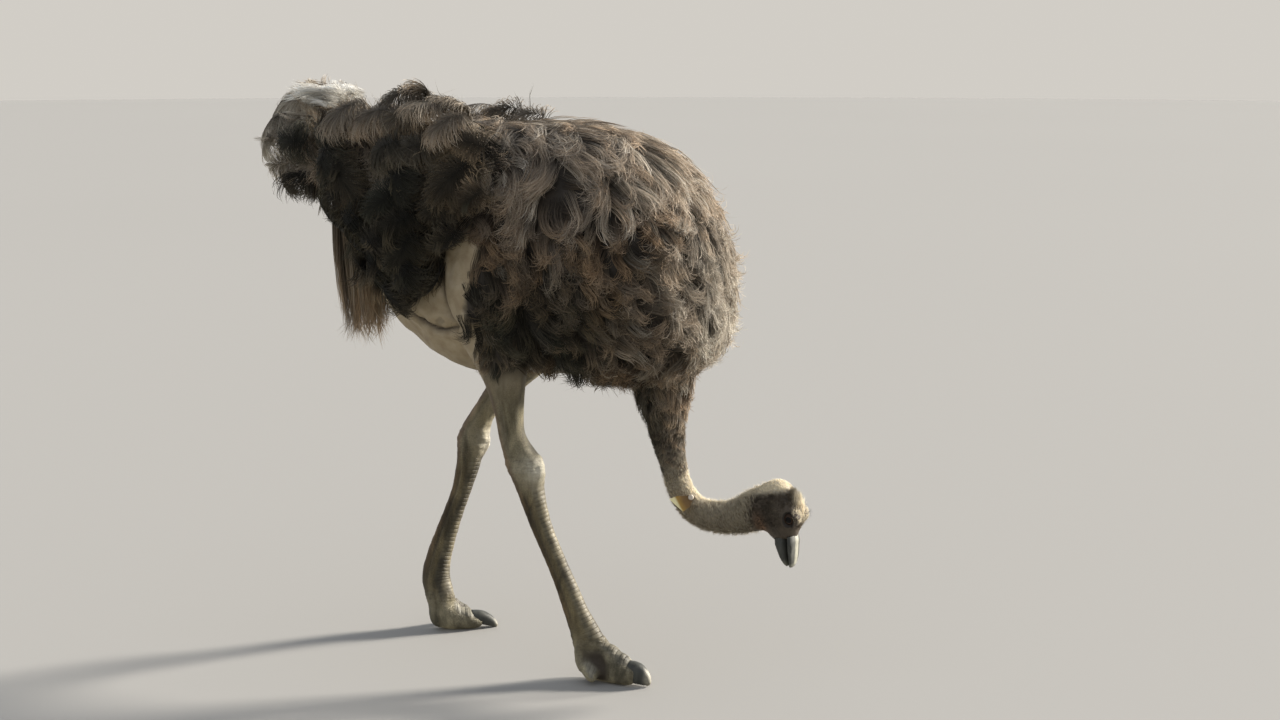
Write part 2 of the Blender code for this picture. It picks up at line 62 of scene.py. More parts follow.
def spline(rows, steps):
    """A Catmull-Rom curve through rows of numbers, with this many steps in each span."""
    rows = np.array(rows, float)
    run = np.vstack([2 * rows[0] - rows[1], rows, 2 * rows[-1] - rows[-2]])[:, None]
    a, b, c, d = run[:-3], run[1:-2], run[2:-1], run[3:]
    t = (np.arange(steps) / steps)[:, None]
    bend = (2 * a - 5 * b + 4 * c - d) * t**2 + (3 * b - a - 3 * c + d) * t**3
    return np.vstack([(b + 0.5 * ((c - a) * t + bend)).reshape(-1, rows.shape[1]), rows[-1]])


def unit(v):
    return v / np.maximum(np.linalg.norm(v, axis=-1, keepdims=True), 1e-9)


def dot(a, b):
    return np.sum(a * b, axis=-1, keepdims=True)


def level(way, normal):
    """The part of a way that lies across a normal, at unit length."""
    return unit(way - normal * dot(way, normal))


def xyz(x, y, z):
    return np.stack(np.broadcast_arrays(x, y, z), -1)


def smooth(value, low, high):
    """0 at low, 1 at high, and a smooth rise between; with high below low it falls as the value grows."""
    t = np.clip((value - low) / (high - low), 0, 1)
    return t * t * (3 - 2 * t)


def bell(*pairs):
    """1 where each value is 0, less as it passes the width that follows it."""
    return np.exp(-sum((value / width) ** 2 for value, width in zip(pairs[::2], pairs[1::2])))


def ripple(p, wavelength, seed):
    """Smooth noise from about -1 to 1, as a sum of sines in seeded directions."""
    source = np.random.default_rng(seed)
    total, terms = 0, 7
    for _ in range(terms):
        way = source.normal(size=3)
        way /= np.linalg.norm(way) * wavelength * source.uniform(0.7, 1.4)
        total = total + np.sin(2 * np.pi * (p @ way) + source.uniform(0, 6.28))
    return total / math.sqrt(terms)


def turned(v, axis, angle):
    """Vectors turned about unit axes by angles (Rodrigues)."""
    c, s = np.cos(angle)[..., None], np.sin(angle)[..., None]
    return v * c + np.cross(axis, v) * s + axis * dot(v, axis) * (1 - c)


# ------------------------------------------------------------------ meshes


def placed(name, data):
    """An object of the scene that shows a mesh, a light or a camera."""
    obj = bpy.data.objects.new(name, data)
    bpy.context.scene.collection.objects.link(obj)
    return obj


def mesh_object(name, co, corners, sizes):
    """A mesh object from flat arrays: points in the bird's frame, face corners and face sizes."""
    mesh = bpy.data.meshes.new(name)
    mesh.vertices.add(len(co))
    mesh.vertices.foreach_set("co", (co + HOME).astype(np.float32).ravel())
    mesh.loops.add(len(corners))
    mesh.loops.foreach_set("vertex_index", corners.astype(np.int32))
    mesh.polygons.add(len(sizes))
    mesh.polygons.foreach_set("loop_start", np.concatenate([[0], np.cumsum(sizes)[:-1]]).astype(np.int32))
    mesh.polygons.foreach_set("loop_total", sizes.astype(np.int32))
    mesh.polygons.foreach_set("use_smooth", np.full(len(sizes), True))
    mesh.update(calc_edges=True)
    return placed(name, mesh)


def read(items, key, width=1, kind=np.int32):
    """One property of all of a mesh's points, edges, corners or faces, as rows of this width."""
    values = np.empty(len(items) * width, kind)
    items.foreach_get(key, values)
    return values.reshape(-1, width) if width > 1 else values


def points_of(obj):
    return read(obj.data.vertices, "co", 3, np.float32).astype(float) - HOME


def normals_of(obj):
    return read(obj.data.vertex_normals, "vector", 3, np.float32).astype(float)


def move_points(obj, co):
    obj.data.vertices.foreach_set("co", (co + HOME).astype(np.float32).ravel())
    obj.data.update()


def set_value(obj, name, values):
    attribute = obj.data.attributes.get(name) or obj.data.attributes.new(name, "FLOAT", "POINT")
    attribute.data.foreach_set("value", np.asarray(values, np.float32))


def solid(name, rings):
    """A closed mesh over rings of equal counts, with a fan at each end."""
    rings = np.array(rings)
    count, around = rings.shape[:2]
    points = np.vstack([rings.reshape(-1, 3), rings[0].mean(0), rings[-1].mean(0)])
    last, end = (count - 1) * around, count * around
    pairs = [(j, (j + 1) % around) for j in range(around)]
    faces = [(a + j, a + k, a + around + k, a + around + j) for a in range(0, last, around) for j, k in pairs]
    for j, k in pairs:
        faces += [(k, j, end), (last + j, last + k, end + 1)]
    obj = mesh_object(name, points, np.concatenate(faces), np.array([len(face) for face in faces]))
    mesh = bmesh.new()
    mesh.from_mesh(obj.data)
    bmesh.ops.recalc_face_normals(mesh, faces=mesh.faces[:])
    mesh.to_mesh(obj.data)
    mesh.free()
    return obj


def oval(centre, across, along, half_across, half_along, sides, squareness=2.0):
    angles = np.linspace(0, 2 * np.pi, sides, endpoint=False)
    cos, sin = np.cos(angles), np.sin(angles)
    u = np.sign(cos) * np.abs(cos) ** (2 / squareness) * half_across
    v = np.sign(sin) * np.abs(sin) ** (2 / squareness) * half_along
    return np.array(centre) + np.outer(u, across) + np.outer(v, along)


def limb_rings(stations, sides=32, steps=6, squareness=2.0):
    """Sections along a curve. A station is x, y, z, half its depth and half its width."""
    rows = spline(stations, steps)
    rings = []
    for row, way in zip(rows, unit(np.gradient(rows[:, :3], axis=0))):
        across = unit(Y - way * way[1])
        rings.append(oval(row[:3], across, np.cross(across, way), row[4], row[3], sides, squareness))
    return rings


def upright_rings(rows, sides=48, steps=5, squareness=2.25):
    """Sections that stand across the bird. A row is x, the middle's y, half the width, top, bottom."""
    return [
        oval((x, y, (top + low) / 2), Y, Z, wide, (top - low) / 2, sides, squareness)
        for x, y, wide, top, low in spline(rows, steps)
    ]


# The head's own axes: x along the bill, y to her left, z towards the crown.
HEAD_CENTRE = np.array([0.367, 0.0, 0.406])
pitch, turn = math.radians(79), math.radians(-7)
PITCHED = np.array([[math.cos(pitch), 0, math.sin(pitch)], [0, 1, 0], [-math.sin(pitch), 0, math.cos(pitch)]])
TURNED = np.array([[math.cos(turn), -math.sin(turn), 0], [math.sin(turn), math.cos(turn), 0], [0, 0, 1]])
HEAD_AXES = TURNED @ PITCHED


def from_head(p):
    return np.asarray(p) @ HEAD_AXES.T + HEAD_CENTRE


def to_head(p):
    return (p - HEAD_CENTRE) @ HEAD_AXES


def head_rings(rows, sides=40, steps=6, squareness=2.0):
    """Sections across the head. A row is x, half the width, top and bottom, in the head's axes."""
    return from_head(upright_rings([(x, 0, *rest) for x, *rest in rows], sides, steps, squareness))


# ------------------------------------------------------------------ the flesh, inside its coat

# Trunk and wings as rows of x, the middle's y, half the width, top and bottom; tail and neck as
# stations of x, y, z, half the depth and half the width; the skull as rows in the head's axes.
TRUNK = [
    (-0.738, 0, 0.038, 1.125, 1.035), (-0.705, 0, 0.098, 1.178, 0.952), (-0.640, 0, 0.150, 1.222, 0.857),
    (-0.560, 0, 0.181, 1.260, 0.766), (-0.470, 0, 0.197, 1.275, 0.708), (-0.395, 0, 0.202, 1.280, 0.686),
    (-0.345, 0, 0.206, 1.277, 0.683), (-0.300, 0, 0.212, 1.272, 0.689), (-0.200, 0, 0.225, 1.270, 0.695),
    (-0.086, 0, 0.230, 1.262, 0.697), (0.020, 0, 0.220, 1.226, 0.701), (0.105, 0, 0.186, 1.152, 0.717),
    (0.160, 0, 0.132, 1.058, 0.760), (0.184, 0, 0.078, 0.978, 0.815), (0.192, 0, 0.030, 0.920, 0.870),
]
WING = [
    (-0.270, -0.222, 0.030, 1.230, 1.130), (-0.350, -0.218, 0.042, 1.270, 1.070),
    (-0.450, -0.208, 0.048, 1.290, 0.990), (-0.560, -0.192, 0.048, 1.298, 1.000),
    (-0.660, -0.172, 0.042, 1.298, 1.090), (-0.760, -0.150, 0.030, 1.270, 1.170),
]
TAIL = [
    (-0.600, 0, 1.180, 0.080, 0.080), (-0.740, 0, 1.215, 0.085, 0.095),
    (-0.840, 0, 1.230, 0.070, 0.085), (-0.900, 0, 1.238, 0.030, 0.040),
]
NECK = [
    (0.020, 0, 0.900, 0.085, 0.085), (0.050, 0, 0.780, 0.072, 0.072), (0.058, 0, 0.665, 0.054, 0.056),
    (0.067, 0, 0.575, 0.0385, 0.040), (0.085, 0, 0.490, 0.0300, 0.031), (0.105, 0, 0.429, 0.0310, 0.0295),
    (0.141, 0, 0.390, 0.0345, 0.030), (0.188, 0, 0.378, 0.0360, 0.031), (0.234, 0, 0.382, 0.0395, 0.032),
    (0.276, 0, 0.396, 0.0455, 0.034), (0.312, 0, 0.421, 0.0480, 0.035), (0.340, 0, 0.434, 0.0400, 0.031),
]
BILL_BASE = 0.060
SKULL = [
    (-0.081, 0.008, -0.008, -0.028), (-0.074, 0.023, 0.003, -0.044), (-0.056, 0.0345, 0.017, -0.057),
    (-0.030, 0.0405, 0.032, -0.064), (0.000, 0.0405, 0.038, -0.063), (0.024, 0.0365, 0.031, -0.060),
    (0.044, 0.0330, 0.0175, -0.0580), (BILL_BASE, 0.0312, 0.0113, -0.0520),
]
HOCK = {"right": 0.490, "left": 0.478}
STANCE = {"right": (0.150, 0.160, 0.143, 0.137), "left": (0.150, 0.156, 0.128, 0.072)}  # out at hip, knee, hock, foot
TOE_OUT = {"right": math.radians(3), "left": math.radians(29)}
TOE_SPREAD = {"right": math.radians(36), "left": math.radians(30)}
FOOT_X = {"right": -0.080, "left": -0.573}
SMALL_TOE_OUT = 0.018

# Legs, toes and nails, as x, z, half the depth and half the width.
LEG = {
    "right": [
        (-0.335, 1.055, 0.085, 0.062), (-0.305, 0.965, 0.108, 0.074), (-0.290, 0.875, 0.110, 0.075),
        (-0.288, 0.785, 0.083, 0.057), (-0.274, 0.700, 0.052, 0.048), (-0.266, 0.620, 0.0365, 0.0355),
        (-0.260, 0.560, 0.0325, 0.0315), (-0.242, 0.520, 0.0405, 0.0355), (-0.228, 0.490, 0.0465, 0.0385),
        (-0.218, 0.450, 0.0375, 0.0315), (-0.196, 0.370, 0.0285, 0.0255), (-0.166, 0.300, 0.0260, 0.0245),
        (-0.134, 0.230, 0.0270, 0.0255), (-0.101, 0.150, 0.0315, 0.0285), (-0.078, 0.102, 0.0385, 0.0325),
        (-0.065, 0.065, 0.0395, 0.0335),
    ],
    "left": [
        (-0.380, 1.040, 0.095, 0.066), (-0.300, 0.955, 0.108, 0.082), (-0.275, 0.865, 0.100, 0.079),
        (-0.308, 0.765, 0.077, 0.065), (-0.370, 0.680, 0.051, 0.048), (-0.430, 0.610, 0.0365, 0.0355),
        (-0.468, 0.560, 0.0305, 0.0305), (-0.490, 0.518, 0.0365, 0.0345), (-0.502, 0.478, 0.0425, 0.0375),
        (-0.508, 0.440, 0.0355, 0.0315), (-0.526, 0.360, 0.0270, 0.0255), (-0.553, 0.280, 0.0285, 0.0245),
        (-0.578, 0.200, 0.0335, 0.0275), (-0.589, 0.140, 0.0375, 0.0315), (-0.580, 0.102, 0.0395, 0.0345),
        (-0.564, 0.066, 0.0365, 0.0345),
    ],
}
BIG_TOE = {
    "right": [
        (-0.028, 0.060, 0.020, 0.019), (-0.010, 0.060, 0.041, 0.029), (0.022, 0.052, 0.052, 0.027),
        (0.054, 0.042, 0.050, 0.0295), (0.084, 0.034, 0.044, 0.0315), (0.110, 0.028, 0.036, 0.030),
        (0.128, 0.024, 0.030, 0.026), (0.137, 0.021, 0.021, 0.018),
    ],
    "left": [
        (-0.028, 0.050, 0.020, 0.020), (-0.010, 0.047, 0.040, 0.032), (0.022, 0.034, 0.038, 0.0315),
        (0.050, 0.025, 0.031, 0.0315), (0.075, 0.021, 0.027, 0.032), (0.097, 0.0175, 0.022, 0.028),
        (0.110, 0.015, 0.016, 0.022),
    ],
}
SMALL_TOE = {
    "right": [
        (0.002, 0.050, 0.0200, 0.0160), (0.026, 0.037, 0.0215, 0.0165), (0.048, 0.026, 0.0200, 0.0155),
        (0.066, 0.0195, 0.0165, 0.0135), (0.080, 0.0150, 0.0090, 0.0080),
    ],
    "left": [
        (0.008, 0.076, 0.0240, 0.0190), (0.040, 0.054, 0.0230, 0.0180), (0.072, 0.034, 0.0210, 0.0170),
        (0.098, 0.021, 0.0170, 0.0145), (0.114, 0.0150, 0.0090, 0.0080),
    ],
}
NAIL = {
    "right": [
        (0.098, 0.032, 0.0200, 0.0180), (0.118, 0.033, 0.0240, 0.0205), (0.134, 0.0275, 0.0245, 0.0185),
        (0.148, 0.0190, 0.0190, 0.0145), (0.157, 0.0100, 0.0110, 0.0090), (0.160, 0.0040, 0.0040, 0.0030),
    ],
    "left": [
        (0.078, 0.0290, 0.0165, 0.0185), (0.096, 0.0270, 0.0175, 0.0190), (0.110, 0.0235, 0.0165, 0.0170),
        (0.127, 0.0150, 0.0130, 0.0130), (0.139, 0.0060, 0.0070, 0.0080), (0.143, 0.0020, 0.0030, 0.0030),
    ],
}


def leg_stations(side):
    """The course of a leg: x, y, z, half its depth and half its width."""
    hip, knee, hock_out, foot = STANCE[side]
    heights, spread = (0.0, 0.06, HOCK[side], 0.87, 1.04), (foot, foot, hock_out, knee, hip)
    return [(x, SIDES[side] * np.interp(z, heights, spread), z, deep, wide) for x, z, deep, wide in LEG[side]]


def foot_of(side):
    """The place on the floor under an ankle, and the way that the big toe points."""
    out = SIDES[side]
    way = np.array([math.cos(TOE_OUT[side]), out * math.sin(TOE_OUT[side]), 0.0])
    return np.array([FOOT_X[side], out * STANCE[side][3], 0.0]), way


def toe_rings(side, stations, spread=0.0, out=0.0, squareness=2.0):
    """The sections of a toe or nail, set at its foot and kept above the floor."""
    rings = np.array(limb_rings([(x, 0, *rest) for x, *rest in stations], 28, 6, squareness))
    angle = SIDES[side] * (TOE_OUT[side] + spread)
    c, s = math.cos(angle), math.sin(angle)
    rings = (rings + (0, SIDES[side] * out, 0)) @ np.array([[c, s, 0], [-s, c, 0], [0, 0, 1]])
    return above_floor(rings + foot_of(side)[0])


def above_floor(p):
    return np.concatenate([p[..., :2], p[..., 2:].clip(0)], axis=-1)


# Courses of the two legs, for what follows their length, and the middle of each hock.
LEG_COURSE = {side: spline(leg_stations(side), 6) for side in SIDES}
JOINT = {side: course[np.abs(course[:, 2] - HOCK[side]).argmin(), :3] for side, course in LEG_COURSE.items()}
EYE = {side: from_head((0.007, out * 0.0208, 0.013)) for side, out in SIDES.items()}
EYE_RADIUS = 0.0198
GAZE = {side: unit(np.array([0.16, out, 0.05])) for side, out in SIDES.items()}
LIDS = math.sin(math.radians(47)), math.sin(math.radians(32))  # half the opening, along and across
LID_DROP = 0.10  # the front corner of the eye is a little lower
LID_DEPTH = 0.0014  # how far the lids stand off the eyeball


def applied(obj):
    graph = bpy.context.evaluated_depsgraph_get()
    obj.data = bpy.data.meshes.new_from_object(obj.evaluated_get(graph))
    obj.modifiers.clear()


def joined(objects, name):
    """One mesh object from several, which are removed."""
    points, corners, sizes, base = [], [], [], 0
    for obj in objects:
        points.append(points_of(obj))
        corners.append(read(obj.data.loops, "vertex_index") + base)
        sizes.append(read(obj.data.polygons, "loop_total"))
        base += len(points[-1])
        bpy.data.objects.remove(obj)
    return mesh_object(name, np.vstack(points), np.concatenate(corners), np.concatenate(sizes))


def relax(obj, mask, turns):
    """Laplacian smoothing, by turns, of the points that a mask of 0 to 1 marks."""
    a, b = read(obj.data.edges, "vertices", 2).T
    co = points_of(obj)
    degree = np.bincount(a, minlength=len(co)) + np.bincount(b, minlength=len(co))
    for _ in range(turns):
        total = [np.bincount(a, v[b], len(co)) + np.bincount(b, v[a], len(co)) for v in co.T]
        co += (np.transpose(total) / np.maximum(degree, 1)[:, None] - co) * (0.5 * mask)[:, None]
    move_points(obj, co)


def refine(obj, chosen):
    """Divides in four each face that holds only chosen points."""
    mesh = bmesh.new()
    mesh.from_mesh(obj.data)
    flags = chosen.tolist()
    edges = [e for e in mesh.edges if flags[e.verts[0].index] and flags[e.verts[1].index]]
    bmesh.ops.subdivide_edges(mesh, edges=edges, cuts=1, use_grid_fill=True)
    mesh.to_mesh(obj.data)
    mesh.free()


def make_flesh():
    """The whole skin as one closed mesh, with more detail on the head and the legs."""
    mirrored = [(x, -y, wide, top - 0.042, low - 0.042) for x, y, wide, top, low in WING]
    rings = [
        upright_rings(TRUNK), upright_rings(WING, 28), upright_rings(mirrored, 28),
        limb_rings(TAIL), limb_rings(NECK, 36), head_rings(SKULL),
    ]
    for side in SIDES:
        rings.append(limb_rings(leg_stations(side), 36))
        rings.append(toe_rings(side, BIG_TOE[side], squareness=2.6))
        rings.append(toe_rings(side, SMALL_TOE[side], TOE_SPREAD[side], SMALL_TOE_OUT))
    skin = joined([solid("flesh", each) for each in rings], "skin")
    remesh = skin.modifiers.new("remesh", "REMESH")
    remesh.mode, remesh.voxel_size, remesh.use_smooth_shade = "VOXEL", 0.0106, True
    applied(skin)
    relax(skin, np.ones(len(skin.data.vertices)), 5)
    for chosen in (
        lambda p: (skin_masks(p)["bare"] > 0.05) & (p[:, 2] < 1.05) & (p[:, 1] < 0.30) | (to_skull(p) < 0.125),
        lambda p: (p[:, 2] < 0.11) | (to_skull(p) < 0.092) | (np.abs(p[:, 2] - 0.50) < 0.05) & (p[:, 0] < 0.0),
    ):
        refine(skin, chosen(points_of(skin)))
        relax(skin, chosen(points_of(skin)).astype(float), 3)
    refine(skin, (from_eyes(points_of(skin)) < 0.034).any(0))
    return skin


def to_skull(p):
    return np.linalg.norm(p - HEAD_CENTRE, axis=1)


def from_eyes(p):
    """Each point's distance from the middle of each eye."""
    return np.array([np.linalg.norm(p - centre, axis=1) for centre in EYE.values()])


def course_of(p, course):
    """For each point: the index of the nearest point of a course, and the way out from it."""
    spots = course[:, :3]
    lots = np.array_split(p, len(p) // 20000 + 1)
    index = np.concatenate([((lot[:, None] - spots) ** 2).sum(-1).argmin(1) for lot in lots])
    return index, p - spots[index]


def run_of(p, course):
    """For each point: how far along a course it is, the course's way there, the way out, and the whole length."""
    index, out = course_of(p, course)
    lengths = np.concatenate([[0], np.cumsum(np.linalg.norm(np.diff(course[:, :3], axis=0), axis=1))])
    ways = unit(np.gradient(course[:, :3], axis=0))[index]
    return lengths[index] + dot(out, ways)[:, 0], ways, out, lengths[-1]


def skin_masks(p):
    """Where each kind of skin lies, as masks of 0 to 1 by name."""
    x, _, z = p.T
    head = 1 - smooth(to_skull(p), 0.078, 0.112)
    neck = np.maximum(smooth(x, 0.00, 0.04) * (1 - smooth(z, 0.56, 0.64)) * smooth(z, 0.20, 0.26), head)
    leg = (1 - smooth(z, 0.62, 0.76)) * (1 - smooth(x, -0.06, 0.04) * smooth(z, 0.20, 0.30))
    flank = smooth(flank_edge(z) + 0.016 - x, 0.0, 0.012) * (1 - smooth(z, 1.06, 1.10))
    vent = smooth(z, 0.935, 0.970) * smooth(-x, 0.405, 0.440)
    return {"head": head, "neck": neck, "leg": leg, "bare": np.maximum(flank * (1 - vent), leg)}


def flank_edge(z):
    """How far back the flank's feathers reach at a height, where bare skin begins."""
    heights = (0.700, 0.735, 0.771, 0.809, 0.868, 0.923, 0.981, 1.057, 1.100)
    return np.interp(z, heights, (-0.320, -0.318, -0.300, -0.317, -0.350, -0.328, -0.310, -0.304, -0.330))


# Folds of the bare side, as x and z: behind the thigh, and across the belly.
THIGH_EDGE = [
    (-0.325, 1.062), (-0.366, 1.029), (-0.397, 1.005), (-0.406, 0.938), (-0.400, 0.888),
    (-0.392, 0.854), (-0.386, 0.825),
]
BELLY_FOLD = [(-0.560, 0.935), (-0.537, 0.871), (-0.498, 0.834), (-0.472, 0.820), (-0.433, 0.805), (-0.385, 0.812)]


def from_line(p, line):
    """Distance of each point from a line seen from the side; it is above 0 on the line's left."""
    course = spline(line, 10)
    flat = p[:, [0, 2]]
    index = ((flat[:, None] - course) ** 2).sum(-1).argmin(1)
    off, way = flat - course[index], unit(np.gradient(course, axis=0))[index]
    return np.sign(way[:, 0] * off[:, 1] - way[:, 1] * off[:, 0]) * np.linalg.norm(off, axis=1)


def bump(p, centre, radius, height):
    return height * np.exp(-(((p - centre) ** 2).sum(1)) / radius**2)


def around_eye(h, side):
    """Distance from the eye's middle, the direction, and how far out of the lids' opening it is."""
    v = h - to_head(EYE[side])
    r = np.linalg.norm(v, axis=1)
    d = v / np.maximum(r, 1e-6)[:, None]
    facing = d @ GAZE[side]
    along, _, above = d.T - GAZE[side][:, None] * facing
    return r, d, facing, above, np.sqrt((along / LIDS[0]) ** 2 + ((above + LID_DROP * along) / LIDS[1]) ** 2)


def from_ear(h, out, depth):
    return np.linalg.norm((h - (-0.046, out * depth, -0.020)) * (1.0, 1.0, 0.8), axis=1)


def sculpt_head(skin):
    """Sockets with lids, brow, ear opening, gape and throat."""
    h = to_head(points_of(skin))
    for side, out in SIDES.items():
        x, y, z = h.T
        centre = to_head(EYE[side])
        bulge = out * 0.0070 * bell(x - centre[0], 0.034, z - centre[2], 0.034)
        h[:, 1] += bulge * smooth(out * y, 0.010, 0.030) * smooth(-z, -0.036, -0.022)
        r, d, facing, above, e = around_eye(h, side)
        brow = 0.0005 * bell(e - 1.75, 0.22) * smooth(above, 0.0, 0.3)
        lid = EYE_RADIUS + LID_DEPTH + brow - 0.0004 * bell(e - 1.42, 0.09)
        sharpness = 250
        swell = np.log(np.exp(sharpness * np.clip(r, 0, 0.06)) + np.exp(sharpness * lid)) / sharpness
        opening = (1 - smooth(e, 0.94, 1.05)) * smooth(facing, 0.2, 0.4)
        target = (swell + 0.0005 * bell(e - 1.10, 0.08)) * (1 - opening) + (EYE_RADIUS - 0.0035) * opening
        near = (1 - smooth(r, 0.030, 0.046)) * smooth(facing, -0.55, -0.25)
        h = centre + d * (r + (target - r) * near)[:, None]
    for out in SIDES.values():
        x, y, z = h.T
        gap = from_ear(h, out, 0.036)
        dent = 0.006 * bell(gap, 0.0048) - 0.0022 * bell(gap - 0.0090, 0.0030)
        gape = 0.016 * np.clip((BILL_BASE - x) / 0.045, 0, 1) ** 1.5
        dent += 0.0024 * (bell(z + 0.0125 + gape, 0.0017) * smooth(x, 0.012, 0.022)) * (np.abs(y) > 0.008)
        h[:, 1] -= out * dent * (np.sign(y) == out)
    move_points(skin, from_head(h))


# Knobs and hollows, as a place from the joint's middle or from the floor under the ankle, a radius and a height.
HOCK_BUMPS = [
    ((0.040, 0.006, -0.008), 0.018, 0.0050), ((0.026, 0.004, 0.046), 0.017, -0.0055),
    ((0.036, 0.004, -0.052), 0.017, -0.0045), ((0.034, -0.010, 0.016), 0.014, 0.0025),
    ((0.038, 0.020, 0.004), 0.007, -0.0035), ((-0.004, 0.036, -0.004), 0.019, 0.0040),
    ((-0.004, -0.036, -0.004), 0.019, 0.0035), ((-0.036, 0.000, 0.010), 0.018, 0.0030),
    ((0.000, 0.034, 0.034), 0.013, -0.0025),
]
ANKLE_BUMPS = [
    ((-0.006, 0.031, 0.078), 0.017, 0.0035), ((-0.006, -0.031, 0.078), 0.017, 0.0030),
    ((0.030, 0.000, 0.098), 0.012, 0.0025),
]


def sculpt_legs(skin):
    """Knobs of the hock and ankle, grooves beside the tendons, and where the scutes lie.

    Gives each point its reach down the leg or along the toe, whether it is on scutes, and the painted shade that
    darkens its grooves, folds and the cleft between the toes.
    """
    p, n = points_of(skin), normals_of(skin)
    push, reach, scute, crease, rear = np.zeros((5, len(p)))
    leg = skin_masks(p)["leg"]
    for side, out in SIDES.items():
        mine = (np.sign(p[:, 1]) == out) & (leg > 0)
        q, m = p[mine], n[mine]
        z, facing_up, hock = q[:, 2], m[:, 2], HOCK[side]
        foot, toe_way = foot_of(side)
        s, ways, off, _ = run_of(q, LEG_COURSE[side])
        front = -dot(level(off, ways), np.cross(unit(Y - ways * ways[:, 1:2]), ways))[:, 0]
        ahead = (q - foot) @ toe_way
        on_toe = (1 - smooth(z, 0.085, 0.110)) * smooth(ahead, 0.0, 0.02)
        off_toe = 1 - on_toe
        groove = bell(front + 0.30, 0.15) * (smooth(z, 0.11, 0.16) * (1 - smooth(z, hock - 0.08, hock - 0.04)))
        groove += 0.7 * bell(front + 0.20, 0.15) * smooth(z, hock + 0.03, hock + 0.07)
        groove *= 1 - smooth(z, 0.60, 0.68)
        moved = -0.0036 * groove * off_toe
        for origin, bumps in ((JOINT[side], HOCK_BUMPS), (foot, ANKLE_BUMPS)):
            for place, radius, height in bumps:
                moved += bump(q, origin + np.array(place) * (1, out, 1), radius, height)
        knuckles = np.cos(2 * np.pi * (ahead - 0.012) / 0.030)
        moved += 0.0011 * knuckles * on_toe * smooth(facing_up, 0.2, 0.6)
        moved -= 0.0045 * bell(ahead - 0.112, 0.026) * on_toe * smooth(facing_up, 0.1, 0.6)
        folds = ripple(q * (0.6, 0.6, 3.4), 0.030, 5)
        at_joint = bell(z - hock, 0.045) + bell(z - 0.088, 0.028)
        moved += 0.0010 * folds * at_joint
        reach[mine] = np.where(on_toe > 0.5, ahead, s)
        plated = smooth(front, 0.30, 0.62) * (1 - smooth(z, hock - 0.055, hock - 0.015))
        scute[mine] = np.maximum(plated * off_toe, on_toe * smooth(facing_up, 0.30, 0.65))
        spread = TOE_OUT[side] + TOE_SPREAD[side]
        small_side = np.array([-out * math.sin(spread), math.cos(spread)])
        from_small = np.abs((q[:, :2] - foot[:2] - (0, out * SMALL_TOE_OUT)) @ small_side) - 0.018
        from_big = np.abs((q - foot)[:, :2] @ np.array([-toe_way[1], toe_way[0]])) - 0.027
        cleft = bell(from_small.clip(0), 0.012, from_big.clip(0), 0.012)
        cleft *= (1 - smooth(z, 0.048, 0.100)) * smooth(ahead, -0.005, 0.012) * (facing_up < 0.85)
        cleft *= smooth(out * (q[:, 1] - foot[1]), 0.012, 0.022)
        push[mine] = moved - 0.007 * cleft
        # Painted shade: darker in the tendons' grooves, the joints' deepest folds and the cleft between the toes.
        creased = np.clip(groove * 0.55 + 0.25 * (folds < -0.7) * at_joint, 0, 1) * off_toe
        crease[mine] = np.maximum(creased, 0.95 * smooth(cleft, 0.05, 0.70))
        rear[mine] = smooth(-front, 0.25, 0.75) * off_toe * smooth(z, 0.10, 0.16)
    move_points(skin, p + n * push[:, None])
    set_value(skin, "rear", rear * leg)
    return reach, scute, crease


def sculpt_flanks(skin):
    """The bare thigh with the groove behind it, the fold of the belly and slack wrinkled skin, and the painted shade
    that darkens the groove, the fold and the wrinkles' troughs.
    """
    p, n = points_of(skin), normals_of(skin)
    bare = skin_masks(p)["bare"] * smooth(p[:, 2], 0.66, 0.74) * smooth(np.abs(p[:, 1]), 0.05, 0.09)
    near = bare > 0
    q = p[near]
    x, _, z = q.T
    thigh, fold = -from_line(q, THIGH_EDGE), from_line(q, BELLY_FOLD)
    span = smooth(z, 0.815, 0.85) * (1 - smooth(z, 1.05, 1.08))
    moved = (0.010 * smooth(-thigh, -0.004, 0.024) - 0.010 * bell(thigh - 0.005, 0.010)) * span
    moved -= 0.008 * bell(fold, 0.0065)
    moved += 0.004 * bell(fold + 0.014, 0.010)
    wrinkled, wrinkles = bell(x + 0.415, 0.07, z - 0.825, 0.022), ripple(q * (0.5, 1.0, 1.6), 0.022, 23)
    moved += 0.0030 * wrinkled * wrinkles
    moved += ripple(q * (1.0, 1.0, 0.45), 0.075, 21) * 0.0030 + ripple(q * (1, 1, 0.5), 0.026, 22) * 0.0009
    push, crease = np.zeros((2, len(p)))
    push[near] = moved * bare[near]
    # Painted shade: darker in the groove behind the thigh, in the belly's fold and in the wrinkles' troughs.
    dark = bell(thigh - 0.004, 0.0055) * span * 0.75 + bell(fold, 0.0042)
    crease[near] = np.clip(dark + 0.35 * wrinkled * (wrinkles < -0.4), 0, 1) * bare[near]
    move_points(skin, p + n * push[:, None])
    return crease


